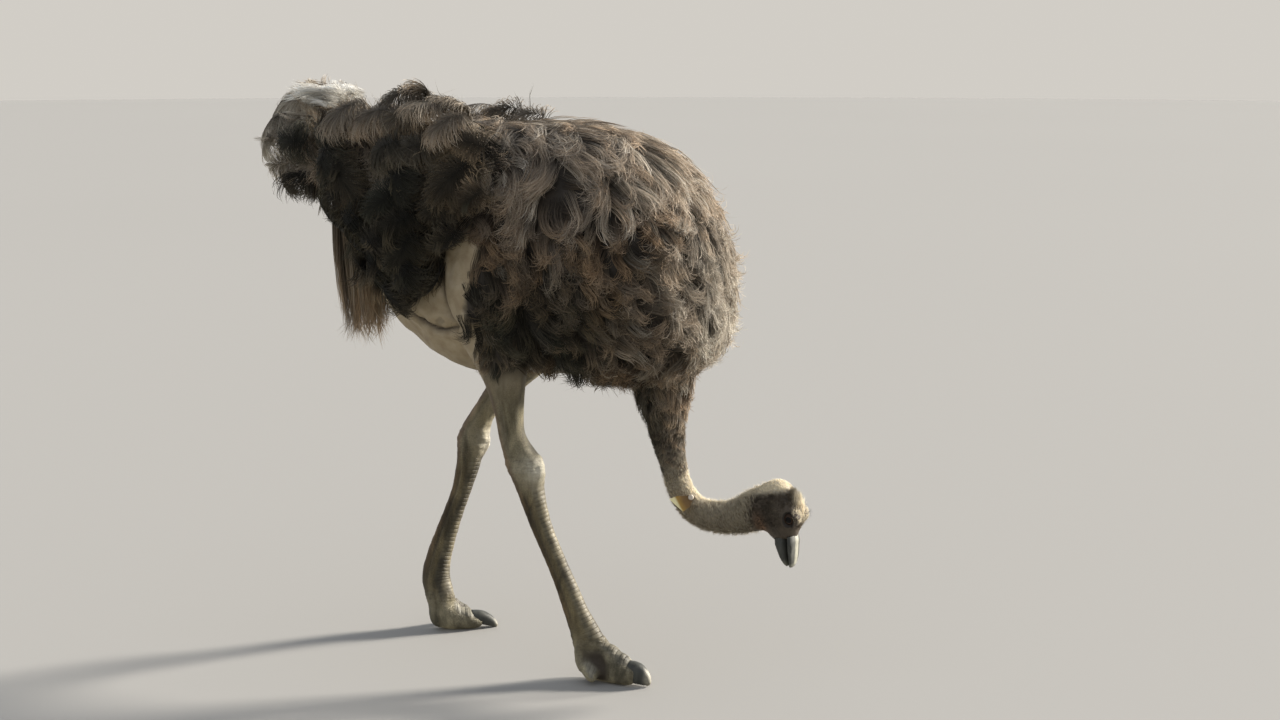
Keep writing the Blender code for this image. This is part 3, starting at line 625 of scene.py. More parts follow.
def mark_skin(skin, reach, scute, crease):
    """Writes on the skin the masks that its material reads."""
    p = points_of(skin)
    z = p[:, 2]
    masks = skin_masks(p)
    h = to_head(p)
    along, _, above = h.T
    crown = np.maximum(smooth(above, 0.024, 0.036), smooth(-along, 0.044, 0.064))
    knob, rim = np.zeros((2, len(p)))
    for side, out in SIDES.items():
        # A painted highlight: the knob of each hock is painted paler, as if sunlit.
        knob = np.maximum(knob, bump(p, JOINT[side] + (0.032, out * 0.010, 0.0), 0.034, 0.9))
        r, _, facing, _, e = around_eye(h, side)
        lids = (1 - smooth(e, 1.02, 1.10)) * (facing > 0.2) * (r < 0.034)
        # The lids' rims are dark skin; the darkened ear opening and the darkening round each eye are painted shade.
        rim = np.maximum(rim, np.maximum(lids, bell(from_ear(h, out, 0.034), 0.0050)))
        rim = np.maximum(rim, 0.35 * (1 - smooth(r, 0.024, 0.033)) * (facing > -0.2))
    values = {
        **masks, "reach": reach, "scute": scute, "crease": crease, "knob": knob, "rim": rim,
        "foot": masks["leg"] * (1 - smooth(z, 0.07, 0.16)),
        "low": masks["leg"] * (1 - smooth(z, 0.40, 0.50)) * smooth(z, 0.05, 0.12),
        "crown": crown * smooth(from_eyes(p), 0.026, 0.033).prod(0),
        "throat": 0.5 * bell(along - 0.020, 0.030, above + 0.062, 0.012) * masks["head"],
        "rosy": 0.12 * bell(along + 0.005, 0.020, above - 0.036, 0.012) * masks["head"],
    }
    for name, value in values.items():
        set_value(skin, name, value)


# ------------------------------------------------------------------ feathers, as joined ribbons

PATCH = 0.003  # the breadth of one tuft's patch of the map
# Where wisps begin to be drawn in, and how much further they may reach: behind, aside and above.
REAR, ASIDE, ABOVE = (0.945, 0.030), (0.318, 0.028), (1.372, 0.032)


def reseed(number):
    """Starts the random numbers afresh, so that a change to one group of feathers moves no other."""
    global rng
    rng = np.random.default_rng(number)


def either(n):
    return np.where(rng.random(n) < 0.5, -1.0, 1.0)


def eased(values, start, room):
    """Values above start are drawn in, so that they never pass start plus room."""
    over = (values - start).clip(0)
    return np.where(over > 0, start + room * (1 - np.exp(-over / room)), values)


class Coat:
    """Ribbons gathered into one mesh. Each tuft has its own patch of the map OFBake."""

    def __init__(self, name):
        self.name, self.count = name, 0
        self.co, self.corners, self.sizes, self.uv = [], [], [], []
        self.values = {"along": [], "tuft": [], "pale": [], "dark": []}

    def add(self, paths, across, widths, place, tuft, pale, dark):
        """paths and across are (n, k, 3), widths (n, k); the rest hold one value for each tuft or each ribbon."""
        n, k = paths.shape[:2]
        half = across * widths[..., None] / 2
        points = np.concatenate([paths[:, :-1] - half[:, :-1], paths[:, :-1] + half[:, :-1], paths[:, -1:]], axis=1)
        per = 2 * k - 1
        quads = [(i, i + k - 1, i + k, i + 1) for i in range(k - 2)]
        template = np.array([i for quad in quads for i in quad] + [k - 2, 2 * k - 3, 2 * k - 2])
        base = self.count + np.arange(n)[:, None] * per
        self.corners.append((base + template).ravel())
        self.sizes.append(np.tile([4] * (k - 2) + [3], n))
        self.co.append(points.reshape(-1, 3))
        steps = np.linspace(0, 1, k)
        along = np.concatenate([steps[:-1], steps[:-1], [1.0]])
        sideways = np.repeat([-0.12, 0.12, 0.0], [k - 1, k - 1, 1])
        strands = n // len(place)
        reach = 0.45 if strands > 3 else 0.35 if strands > 1 else 0.0
        strand = np.tile(np.linspace(-reach, reach, strands), len(place))
        place = np.repeat(place, strands, 0)
        u = place[:, :1] + PATCH * (strand[:, None] + sideways)
        v = place[:, 1:] + PATCH * (along - 0.5)
        self.uv.append(np.stack(np.broadcast_arrays(u, v), axis=-1)[:, template].reshape(-1, 2))
        self.values["along"].append(np.tile(along, n))
        for key, value in (("tuft", tuft), ("pale", pale), ("dark", dark)):
            value = np.ravel(value)
            self.values[key].append(np.repeat(value, n * per // len(value)))
        self.count += n * per

    def make(self, material):
        """The mesh, drawn in at its end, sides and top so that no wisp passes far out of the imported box."""
        x, y, z = np.vstack(self.co).T
        co = xyz(-eased(-x, *REAR), np.sign(y) * eased(np.abs(y), *ASIDE), eased(z, *ABOVE))
        obj = mesh_object(self.name, co, np.concatenate(self.corners), np.concatenate(self.sizes))
        layer = obj.data.uv_layers.new(name="OFBake")
        layer.data.foreach_set("uv", np.clip(np.vstack(self.uv), 0.001, 0.999).astype(np.float32).ravel())
        for key, parts in self.values.items():
            set_value(obj, key, np.concatenate(parts))
        obj.data.materials.append(material)
        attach(obj, "root")


def unwrap(p, course):
    """Each point's place on the unrolled skin: along a course, and round it."""
    s, ways, out, whole = run_of(p, course)
    across = unit(Y - ways * ways[:, 1:2])
    angle = np.arctan2(dot(out, across), dot(out, np.cross(across, ways)))[:, 0]
    return 0.01 + 0.98 * np.column_stack([np.clip(s / whole, 0, 1), angle / (2 * np.pi) + 0.5])


def at(guides, t):
    """Points along guides (n, g, 3) at shares t (n, m, k, 1) of their length, as (n, m, k, 3)."""
    last = guides.shape[1] - 1
    place = np.clip(t, 0, 1) * last
    low = np.minimum(place.astype(int), last - 1)
    share, low = place - low, low[..., 0]
    rows = np.arange(len(guides))[:, None, None]
    return guides[rows, low] * (1 - share) + guides[rows, low + 1] * share


def locks(coat, guides, normals, course, strands, k, width, turn, sign, height, pale, dark,
          breadth=0.019, depth=0.008, gather=0.36, ease=1.0, bend=(0.45, 0.75), flat=0.0):
    """Locks of strands that follow guides laid on the skin, lift off it, and end in curls.

    turn is the angle in radians that ends each lock, sign the way it turns, height its lift.
    """
    n = len(guides)
    if n == 0:
        return
    if normals.ndim == 2:
        normals = np.repeat(normals[:, None], guides.shape[1], 1)
    pale, dark = (np.broadcast_to(value, n)[:, None] for value in (pale, dark))
    turn, sign, height, flat = (np.broadcast_to(value, n).reshape(n, 1, 1, 1) for value in (turn, sign, height, flat))
    span = np.linalg.norm(np.diff(guides, axis=1), axis=2).sum(1).reshape(n, 1, 1, 1)
    lock, strand, ribbon = (n, 1, 1, 1), (n, strands, 1, 1), (n * strands, 1)
    steps = 1 - (1 - np.linspace(0, 1, k)) ** ease
    t = steps[:, None] * rng.uniform(0.74, 1.06, strand)
    bend_at = (rng.uniform(*bend, lock) + rng.normal(0, 0.07, strand)).clip(0.3, 0.9)
    turn_by = turn * rng.uniform(0.45, 1.45, strand)
    lean = (rng.uniform(-0.2, 0.8, lock) + rng.normal(0, 0.32, strand)) * (1 - flat)
    held = np.minimum(t, bend_at)
    up = unit(at(normals, held))
    ahead = unit(at(guides, np.minimum(held + 0.12, 1)) - at(guides, np.maximum(held - 0.12, 0)))
    side = unit(np.cross(up, ahead))
    spread, around = np.sqrt(rng.random(strand)), rng.uniform(0, 2 * np.pi, strand)
    closing = 1 - gather * smooth(t, 0.0, 0.7) + 0.6 * gather * smooth(t, 0.75, 1.1)
    rise = height * rng.uniform(0.35, 1.0, strand) * (0.08 + 0.92 * smooth(t, -0.05, 0.6))
    paths = at(guides, held) + side * (breadth * spread * np.cos(around) * closing)
    paths += up * (rise + depth * spread * np.sin(around) * closing)
    wave = rng.uniform(0, 6.28, strand) + t * rng.uniform(5, 11, strand)
    paths += side * (np.sin(wave) * (0.0022 * smooth(t, 0.15, 0.8) * rng.uniform(0.3, 1.6, strand)))
    free = 1.0 - bend_at
    phi = turn_by * (t - bend_at).clip(0) / free
    circle = span * free / np.maximum(turn_by, 0.15)
    plane = side * (sign * np.cos(lean)) + up * np.sin(lean)
    paths += ahead * (circle * np.sin(phi)) + plane * (circle * (1 - np.cos(phi)))
    paths, up = paths.reshape(-1, k, 3), up.reshape(-1, k, 3)
    way = unit(np.gradient(paths, axis=1))
    across = turned(unit(np.cross(way, up)), way, rng.normal(0, 0.55, ribbon) * np.ones(k))
    taper = np.interp(steps, (0.0, 0.15, 0.35, 0.75, 0.93, 1.0), (0.5, 0.8, 1.0, 0.95, 0.6, 0.0))
    widths = width * rng.uniform(0.7, 1.3, ribbon) * taper
    tuft = rng.random((n, 1)) + rng.normal(0, 0.06, (n, strands))
    pale = pale * rng.uniform(0.6, 1.4, (n, strands))
    coat.add(paths, across, widths, unwrap(guides[:, 0], course), tuft, pale.clip(0, 1), dark)


def plumes(coat, centres, ups, ways, course, barbs, reach, pale, dark):
    """Curled ends of plumes: barbs spring from a bowed shaft and fall over on both sides in a soft lobe."""
    taper = np.array([0.8, 1.0, 1.0, 1.0, 0.85, 0.55, 0.0])
    barb, vector = (barbs, 1, 1), (barbs, 1, 3)
    for centre, up, way, size, light, shade in zip(centres, ups, ways, reach, pale, dark):
        side = np.cross(up, way)
        t = np.linspace(0, 1, len(taper))[:, None] * rng.uniform(0.82, 1.05, barb)
        u = rng.random(barb) ** 0.8
        s = 1.25 * size * (u - 0.60)
        top = size * 0.72 * np.cos(1.15 * s / size)
        phi = np.where(rng.random(barb) < 0.5, -1, 1) * (1.45 - 1.25 * u) + rng.normal(0, 0.34, barb)
        phi = phi + 0.45 * t**2 * rng.normal(0.2, 0.7, barb)
        theta = t * rng.uniform(1.35, 2.15, barb)
        out = size * rng.uniform(0.70, 1.10, barb) * np.sin(theta)
        fall = size * 0.62 * (1 - np.cos(theta)) * rng.uniform(0.7, 1.1, barb)
        p = centre + way * (s + out * np.cos(phi)) + side * (out * np.sin(phi)) + up * (top - fall)
        p[..., 2:] -= 0.20 * size * t**2
        wave = rng.uniform(0, 6.28, barb) + t * rng.uniform(4, 9, barb)
        p = p + unit(rng.normal(size=vector)) * (np.sin(wave) * 0.0046 * t)
        across = unit(np.cross(unit(np.gradient(p, axis=1)), up + 0.45 * rng.normal(size=vector)))
        widths = 0.0013 * rng.uniform(0.7, 1.35, (barbs, 1)) * taper
        tuft = rng.random() + rng.normal(0, 0.08, barbs)
        light = (light * rng.uniform(0.5, 1.5, barbs)).clip(0, 1)
        coat.add(p, across, widths, unwrap(centre[None], course), tuft, light, shade)


class Surface:
    """A mesh's triangles in the bird's frame, with a tree to find the nearest and the one that a ray meets."""

    def __init__(self, *objects):
        points, triangles, base = [], [], 0
        for obj in objects:
            obj.data.calc_loop_triangles()
            points.append(points_of(obj))
            triangles.append(read(obj.data.loop_triangles, "vertices", 3) + base)
            base += len(points[-1])
        self.co, self.triangles = np.vstack(points), np.vstack(triangles)
        self.tree = BVHTree.FromPolygons(self.co.tolist(), self.triangles.tolist(), all_triangles=True)

    def nearest(self, p):
        """The surface's nearest points, and its normals there."""
        hits = [self.tree.find_nearest(Vector(point)) for point in p]
        return np.array([hit[0][:] for hit in hits]), np.array([hit[1][:] for hit in hits])

    def rooted(self, count, weight, gap):
        """Random points kept a gap apart, with their normals, in numbers that follow a weight for each place."""
        points, normals = self.scattered(count, weight)
        keep = spaced(points, gap)
        return points[keep], normals[keep]

    def scattered(self, count, weight):
        a, b, c = self.co[self.triangles.T]
        cross = np.cross(b - a, c - a)
        share = np.linalg.norm(cross, axis=1) * weight((a + b + c) / 3)
        chosen = rng.choice(len(cross), count, p=share / share.sum())
        u, v = rng.random((2, count, 1))
        flip = u + v > 1
        u, v = np.where(flip, 1 - u, u), np.where(flip, 1 - v, v)
        return a[chosen] + (b - a)[chosen] * u + (c - a)[chosen] * v, unit(cross[chosen])

    def walked(self, p, n, flow, length, steps, swing):
        """Guides that follow the surface from each start, and its normals along them."""
        guides, normals = [p], [n]
        for _ in range(steps):
            way = turned(level(flow(p), n), n, swing)
            p, found = self.nearest(p + way * (length / steps)[:, None])
            n = unit(n * 0.4 + found * 0.6)
            guides.append(p)
            normals.append(n)
        return np.stack(guides, 1), np.stack(normals, 1)

    def room(self, p, n, most):
        """How far this surface stands off the points along their normals."""
        hits = [self.tree.ray_cast(Vector(point), Vector(way), 0.15)[3] for point, way in zip(p, n)]
        return np.clip([hit or 0.0 for hit in hits], 0.004, most)


def spaced(p, gap):
    """Which points to keep so that no two are nearer together than the gap."""
    cells, kept = {}, []
    around = [(i, j, k) for i in (-1, 0, 1) for j in (-1, 0, 1) for k in (-1, 0, 1)]
    for index, (point, (a, b, c)) in enumerate(zip(p.tolist(), np.floor(p / gap).astype(int).tolist())):
        near = (other for i, j, k in around for other in cells.get((a + i, b + j, c + k), ()))
        if all(math.dist(point, other) >= gap for other in near):
            cells.setdefault((a, b, c), []).append(point)
            kept.append(index)
    return np.array(kept)


TRUNK_COURSE = spline([(x, 0, (top + low) / 2) for x, _, _, top, low in TRUNK], 4)
NECK_COURSE = spline([row[:3] for row in NECK] + [(0.385, 0, 0.36), (0.38, 0, 0.30)], 5)
TAIL_COURSE = spline([(-0.60, 0, 1.18), (-0.74, 0, 1.21), (-0.86, 0, 1.23), (-0.96, 0, 1.24)], 5)
CURTAIN_COURSE = spline([(-0.70, 0, 1.16), (-0.70, 0, 1.0), (-0.71, 0, 0.85), (-0.74, 0, 0.70)], 5)


def body_flow(p):
    """The lie of the body feathers: arcs down from the spine, forward on the low breast."""
    x, y, z = p.T
    spine = smooth(z, 1.08, 1.28) * smooth(x, -0.50, -0.15)
    low_front = smooth(x, -0.22, 0.02) * (1 - smooth(z, 0.96, 1.08)) * smooth(z, 0.74, 0.82)
    throat = smooth(x, -0.04, 0.06) * (1 - smooth(z, 0.70, 0.82))
    ahead = 0.12 + 0.95 * spine + 1.15 * low_front - 0.75 * smooth(-x, 0.36, 0.62)
    way = xyz(ahead, np.sign(y) * 0.45 * smooth(z, 1.16, 1.27), -1.0) * (1 - throat)[:, None]
    way += xyz(-0.55 * smooth(z, 0.66, 0.74), 0.0, -1.0) * throat[:, None]
    return unit(way + xyz(0.50 * ripple(p, 0.17, 31), 0.0, 0.22 * ripple(p, 0.15, 32)))


def feathered(p):
    """1 where the body feathers grow and 0 on bare skin, under the wings, on tail, neck and legs."""
    x, y, z = p.T
    flank = smooth(x, flank_edge(z) - 0.002, flank_edge(z) + 0.010)
    under_wing = (x > -0.70) & (x < -0.34) & (np.abs(y) > 0.14) & (z > 1.10) & (z < 1.24)
    body = np.maximum(flank, smooth(z, 1.06, 1.12)) * smooth(z, 0.69, 0.72) * smooth(x, -0.80, -0.76)
    return np.where((z < 0.735) & (x < -0.10) | under_wing, 0.0, body * np.where(y > 0, 0.75, 1.0))


def body_plumage(skin, outline, material):
    """The curls of the trunk: tight on the flank and low breast, long and flat on the back."""
    p, n = skin.rooted(15000, feathered, 0.0205)
    count = len(p)
    x, y, z = p.T
    length = 0.108 - 0.024 * (1 - smooth(z, 0.74, 0.92)) + 0.030 * smooth(z, 1.08, 1.22)
    length *= rng.uniform(0.78, 1.22, count) * (1 - 0.50 * (1 - smooth(z, 0.54, 0.72)))
    length *= 1 - 0.35 * smooth(-x, 0.12, 0.18) * (1 - smooth(z, 0.76, 0.84))
    swing = rng.normal(0, 0.26, count) + 0.32 * ripple(p, 0.10, 33)
    guides, normals = skin.walked(p, n, body_flow, length, 6, swing)
    height = outline.room(guides[:, -1], normals[:, -1], 0.060) * rng.uniform(0.5, 1.0, count) ** 0.7
    height = np.minimum(height, outline.room(p, n, 0.060) * 1.15 + 0.006) * (1 - 0.45 * smooth(z, 1.20, 1.28))
    curly = bell(z - 0.99, 0.12) * (1 - 0.5 * smooth(x, 0.05, 0.15))
    low_front = smooth(x, -0.20, 0.0) * (1 - smooth(z, 0.96, 1.06))
    turn = 0.6 + rng.gamma(2.0, 0.46, count) * (1 + 2.6 * curly + 1.2 * low_front)
    tailward = np.sign(y)
    sign = np.where(rng.random(count) < 0.82, tailward, -tailward)
    sign = np.where(rng.random(count) < low_front * 0.8, -tailward, sign)
    sign = np.where((z < 1.08) & (rng.random(count) < 0.35), -sign, sign)
    # Painted shade and light: the low front flank is darker, partly darker feathers and partly painted shade, and the
    # lowest feathers under the body are painted darker; the breast's front and the back are painted paler, as if
    # sunlit. The scattered pale tufts and the ripples are the plumage's own variation.
    shade = 0.85 * (1 - smooth(z, 0.90, 1.06)) * (1 - smooth(x, -0.12, 0.06))
    shade *= 0.55 + 0.45 * smooth(rng.random(count), 0.0, 0.25)
    pale = 0.10 * rng.random(count) + 0.34 * smooth(x, 0.06, 0.19) * smooth(z, 0.72, 0.80)
    pale += 0.26 * smooth(z, 1.06, 1.20)
    pale += 0.16 * smooth(x, -0.06, 0.08) * smooth(z, 0.76, 0.82) * (1 - smooth(z, 0.98, 1.06))
    pale += 0.26 * (rng.random(count) < 0.14) * (1 - shade)
    pale = (pale + 0.08 * ripple(p, 0.12, 34)).clip(0, 1)
    dark = np.clip(shade + 0.22 * ripple(p, 0.09, 35) * (z < 1.1) + 0.35 * (z < 0.66), 0, 1)
    flat = 0.85 * smooth(z, 1.16, 1.25)
    parts = {"breast": (-0.02, 1), "shoulder": (-0.16, -0.02), "flank": (-0.31, -0.16), "rump": (-1, -0.31)}
    for side, strands, width in (("right", 40, 0.00105), ("left", 23, 0.00153)):
        for name, (rear, front) in parts.items():
            coat = Coat(f"coat_{name}_{side}")
            mine = (x > rear) & (x <= front) & (np.sign(y) == SIDES[side])
            for group, k, ease in ((mine & (turn < 1.9), 7, 1.0), (mine & (turn >= 1.9), 9, 1.5)):
                each = [value[group] for value in (turn, sign, height, pale, dark)]
                ends = guides[group], normals[group]
                locks(coat, *ends, TRUNK_COURSE, strands, k, width, *each, ease=ease, flat=flat[group])
            coat.make(material)


def neck_base_plumage(skin, material):
    """Short straight feathers that cover the root of the neck and thin out down it."""
    def at_base(p):
        x, _, z = p.T
        return smooth(x, -0.04, 0.0) * (1 - smooth(x, 0.18, 0.22)) * (1 - smooth(z, 0.74, 0.80)) * smooth(z, 0.47, 0.58)

    p, n = skin.rooted(4000, at_base, 0.0112)
    x, _, z = p.T
    count = len(p)
    high, rear = smooth(z, 0.54, 0.70), smooth(-x, -0.10, -0.04)
    length = (0.020 + 0.036 * high) * rng.uniform(0.7, 1.4, count)
    guides = skin.walked(p, n, body_flow, length, 5, rng.normal(0, 0.30, count))
    sign = either(count)
    coat = Coat("coat_neck_base")
    locks(
        coat, *guides, NECK_COURSE, 14, 6, 0.0014, rng.gamma(2, 0.3, count) + 0.1, sign,
        0.003 + 0.020 * high * rng.uniform(0.3, 1.0, count), 0.12 + 0.10 * rng.random(count) * (1 - rear),
        np.clip(0.25 + 0.55 * rear + rng.normal(0, 0.06, count), 0, 1), breadth=0.012, depth=0.004, gather=0.2,
    )
    coat.make(material)


def on_outline(outline, aims, gap):
    """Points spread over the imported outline, with the way out of it."""
    points, normals = outline.nearest(aims)
    keep = spaced(points, gap)
    return points[keep], normals[keep]


def rays(starts, ways, k):
    """Straight guides of k points."""
    return starts[:, None] + np.linspace(0, 1, k)[:, None] * ways[:, None]


def wing_plumage(side, material):
    """Lobes of curled plumes over the wing's outline, and dark feathers that hang under its edge."""
    out = SIDES[side]
    outline = Surface(nodes["wing_" + side])
    count = 2500
    x = rng.uniform(-0.88, -0.22, count)
    angle = rng.uniform(-2.0, 1.8, count)
    aside = np.interp(x, (-0.80, -0.55, -0.27), (0.150, 0.192, 0.222))
    middle = np.interp(x, (-0.80, -0.45, -0.27), (1.24, 1.17, 1.20))
    aims = xyz(x, out * (aside + 0.4 * np.cos(angle)), middle + 0.5 * np.sin(angle))
    points, normals = on_outline(outline, aims, 0.057)
    keep = (points[:, 0] > -0.62) | (points[:, 2] < 1.27)
    points, normals = points[keep], normals[keep]
    x, _, z = points.T
    n = len(points)
    ways = level(np.array([-0.75, 0.0, -0.55]) + rng.normal(0, 0.34, (n, 3)), normals)
    reach = rng.uniform(0.044, 0.062, n)
    # Painted light and shade: lobes that face up are paler and the rest are dark, as if lit from above, and those at
    # the front are less dark; the dark is partly the plumage's own colour.
    top = smooth(normals[:, 2], 0.15, 0.70) * smooth(z, 1.14, 1.24)
    front = smooth(x, -0.38, -0.26)
    pale = 0.05 + 0.22 * top + 0.10 * rng.random(n)
    dark = np.clip(0.90 - 0.85 * top - 0.35 * front + 0.10 * rng.normal(size=n), 0, 1)
    places = (-0.25, 0.22, 1.2), (-0.5, 0.2, 1.17), (-0.7, 0.17, 1.2), (-0.85, 0.14, 1.24)
    course = spline([(x, out * y, z) for x, y, z in places], 6)
    coat = Coat("coat_wing_" + side)
    sunk = reach * (0.62 + 0.22 * smooth(z, 1.28, 1.34))
    barbs = {"right": 360, "left": 200}[side]
    plumes(coat, points - normals * sunk[:, None], normals, ways, course, barbs, reach, pale, dark)
    filling(coat, outline, aims[aims[:, 0] < -0.36], course, 0.044, 0.75)
    hung = normals[:, 2] < 0.15
    starts = points[hung] - normals[hung] * 0.012 + (0, 0, 0.02)
    starts = np.repeat(starts, 2, 0) + rng.normal(0, 0.014, (2 * len(starts), 3))
    m = len(starts)
    length = rng.uniform(0.05, 0.085, m)
    sign = either(m)
    locks(
        coat, rays(starts, xyz(-0.25 * length, 0.0, -length), 6), np.tile([0.0, out, 0.0], (m, 1)), course,
        20, 7, 0.0015, rng.gamma(2, 0.5, m) + 0.3, sign, 0.012, 0.03, np.clip(rng.normal(0.85, 0.1, m), 0, 1),
    )
    coat.make(material)


def pale_end(p):
    """The pale end of the tail."""
    return smooth(-p[:, 0], 0.77, 0.84) * smooth(p[:, 2], 1.14, 1.19)


def filling(coat, outline, aims, course, gap, shade):
    """The long plumes underneath: from the wing or tail itself out to just inside the outline."""
    points, normals = on_outline(outline, aims, gap)
    n = len(points)
    nearest = ((points[:, None] - course) ** 2).sum(-1).argmin(1)
    start = course[np.maximum(nearest - rng.integers(3, 8, n), 0)] + rng.normal(0, 0.015, (n, 3))
    tip = points - normals * rng.uniform(0.028, 0.050, n)[:, None]
    end = pale_end(points)
    bow = 0.012 * np.sin(np.pi * np.linspace(0, 1, 8))[:, None]
    sign = either(n)
    locks(
        coat, rays(start, tip - start, 8) + normals[:, None] * bow, normals, course, 18, 8, 0.0016,
        rng.gamma(2, 0.4, n) + 0.3, sign, 0.006, 0.04 + 0.50 * end,
        np.clip((shade + rng.normal(0, 0.1, n)) * (1 - end), 0, 1), breadth=0.022, gather=0.1,
    )


def vent_plumage(skin, material):
    """Dark feathers that hang between the wings and the bare belly."""
    def under_wings(p):
        x, _, z = p.T
        return smooth(z, 0.95, 0.98) * (1 - smooth(z, 1.08, 1.14)) * smooth(-x, 0.38, 0.44) * smooth(x, -0.80, -0.74)

    def hanging(p):
        return unit(xyz(-0.22 + 0.35 * ripple(p, 0.10, 41), 0.0, -1.0))

    p, n = skin.rooted(2500, under_wings, 0.020)
    count = len(p)
    guides = skin.walked(p, n, hanging, rng.uniform(0.06, 0.105, count), 6, rng.normal(0, 0.2, count))
    sign = either(count)
    coat = Coat("coat_vent")
    locks(
        coat, *guides, TRUNK_COURSE, 16, 7, 0.0017, rng.gamma(2, 0.4, count) + 0.3, sign,
        rng.uniform(0.008, 0.028, count), 0.04, np.clip(rng.normal(0.85, 0.12, count), 0, 1),
    )
    coat.make(material)


def tail_plumage(material):
    """Soft lobes that stand out behind over a filling, with ragged ends."""
    outline = Surface(nodes["tail"])
    coat = Coat("coat_tail")
    angle = rng.uniform(0, 2 * np.pi, 1800)
    aims = xyz(rng.uniform(-1.05, -0.60, 1800), 0.3 * np.cos(angle), 1.22 + 0.3 * np.sin(angle))
    points, normals = on_outline(outline, aims, 0.049)
    keep = (points[:, 2] > 1.06) & ((points[:, 2] < 1.27) | (points[:, 0] < -0.80))
    points, normals = points[keep], normals[keep]
    n = len(points)
    # Those underneath face outwards and back instead of down, or their barbs would hang as a fringe.
    normals = unit(normals * xyz(1.0, 1.0, np.where(normals[:, 2] < 0, 0.25, 1.0)) + (1e-4, 0, 0))
    ways = level(np.array([-1.0, 0.0, -0.15]) + rng.normal(0, 0.30, (n, 3)), normals)
    reach = rng.uniform(0.042, 0.058, n)
    # Painted light: the lobes at the very top are paler and less dark, as if sunlit.
    end, top = pale_end(points), smooth(points[:, 2], 1.28, 1.33)
    dark = np.clip(0.80 - 0.80 * np.maximum(end, top) + 0.1 * rng.normal(size=n), 0, 1)
    centres = points - normals * (reach * 0.75)[:, None]
    plumes(coat, centres, normals, ways, TAIL_COURSE, 250, reach, 0.05 + 0.72 * end + 0.30 * top, dark)
    aims = aims[aims[:, 2] > 1.08]
    filling(coat, outline, aims, TAIL_COURSE, 0.034, 0.60)
    filling(coat, outline, aims[aims[:, 0] < -0.80], TAIL_COURSE, 0.036, 0.60)
    n = 110
    start = xyz(rng.uniform(-0.86, -0.76, n), rng.uniform(-0.085, 0.085, n), rng.uniform(1.15, 1.30, n))
    way = unit(xyz(-1.0, rng.normal(0, 0.35, n), rng.normal(-0.15, 0.35, n)))
    guides = rays(start, way * rng.uniform(0.05, 0.09, (n, 1)), 6)
    locks(
        coat, guides, unit(rng.normal(size=(n, 3))), TAIL_COURSE, 16, 7, 0.0018,
        rng.gamma(2, 0.4, n) + 0.3, either(n), 0.008, 0.12 + 0.50 * smooth(start[:, 2], 1.15, 1.20),
        0.35 * (1 - smooth(start[:, 2], 1.13, 1.18)), breadth=0.026, gather=0.1,
    )
    keep = (points[:, 0] < -0.84) & (points[:, 2] > 1.15)
    start, outward = np.repeat(points[keep] - normals[keep] * 0.052, 9, 0), np.repeat(normals[keep], 9, 0)
    n = len(start)
    start = start + rng.normal(0, 0.020, (n, 3)) + (0.035, 0, 0.010)
    way = unit(outward * (0.6, 0.8, 0.5) + (-0.5, 0, -0.25) + rng.normal(0, 0.25, (n, 3)))
    locks(
        coat, rays(start, way * rng.uniform(0.045, 0.070, (n, 1)), 6), outward, TAIL_COURSE, 22, 7, 0.0012,
        rng.gamma(2, 0.5, n) + 0.4, either(n), 0.006, rng.uniform(0.30, 0.60, n), 0.0, breadth=0.014, gather=0.1,
    )
    coat.make(material)


def white_plumes(material):
    """The white plumes on top of the tail."""
    n = 80
    start = xyz(rng.uniform(-0.755, -0.69, n), rng.uniform(-0.155, -0.01, n), rng.uniform(1.315, 1.350, n))
    length = (0.045 + 0.075 * rng.random(n) ** 2)[:, None]
    way = unit(xyz(-1.0, rng.normal(0, 0.20, n), rng.uniform(-0.05, 0.26, n)))
    guides = rays(start, way * length, 7)
    guides[..., 2] -= 0.30 * length * np.linspace(0, 1, 7) ** 2
    sign = either(n)
    coat = Coat("coat_tail_white")
    locks(
        coat, guides, np.tile(Z, (n, 1)), TAIL_COURSE, 22, 8, 0.0014, rng.gamma(2, 0.4, n) + 0.4, sign,
        rng.uniform(0.006, 0.024, n), 1.0, 0.0, breadth=0.013,
    )
    coat.make(material)


def tail_curtain(material):
    """The brown curtain that hangs below the tail."""
    n = 185
    angle, spread = rng.uniform(0, 2 * np.pi, n), np.sqrt(rng.uniform(0.1, 1, n))
    x, y = -0.700 + 0.088 * spread * np.cos(angle), 0.088 * spread * np.sin(angle)
    top = 1.160 - 0.06 * rng.random(n)
    bottom = 0.730 + 0.13 * rng.random(n) ** 1.5 + 0.12 * smooth(x, -0.70, -0.62)
    steps = np.linspace(0, 1, 8)
    drift = rng.normal(0, 0.009, (n, 2))
    x, y, top, bottom = (value[:, None] for value in (x, y, top, bottom))
    guides = xyz(
        x + (-0.690 - x) * 0.35 * steps**2 - 0.010 * steps + drift[:, :1] * steps,
        y * (1 - 0.55 * steps**2) + drift[:, 1:] * steps,
        top + (bottom - top) * steps,
    )
    sign = either(n)
    coat = Coat("coat_tail_curtain")
    locks(
        coat, guides, xyz(np.cos(angle), np.sin(angle), 0.0), CURTAIN_COURSE, 24, 9, 0.0017,
        rng.gamma(2, 0.25, n) + 0.15, sign, 0.008, 0.06 + 0.16 * rng.random(n), 0.05 + 0.45 * rng.random(n),
        breadth=0.014, gather=0.3, bend=(0.80, 0.95),
    )
    coat.make(material)


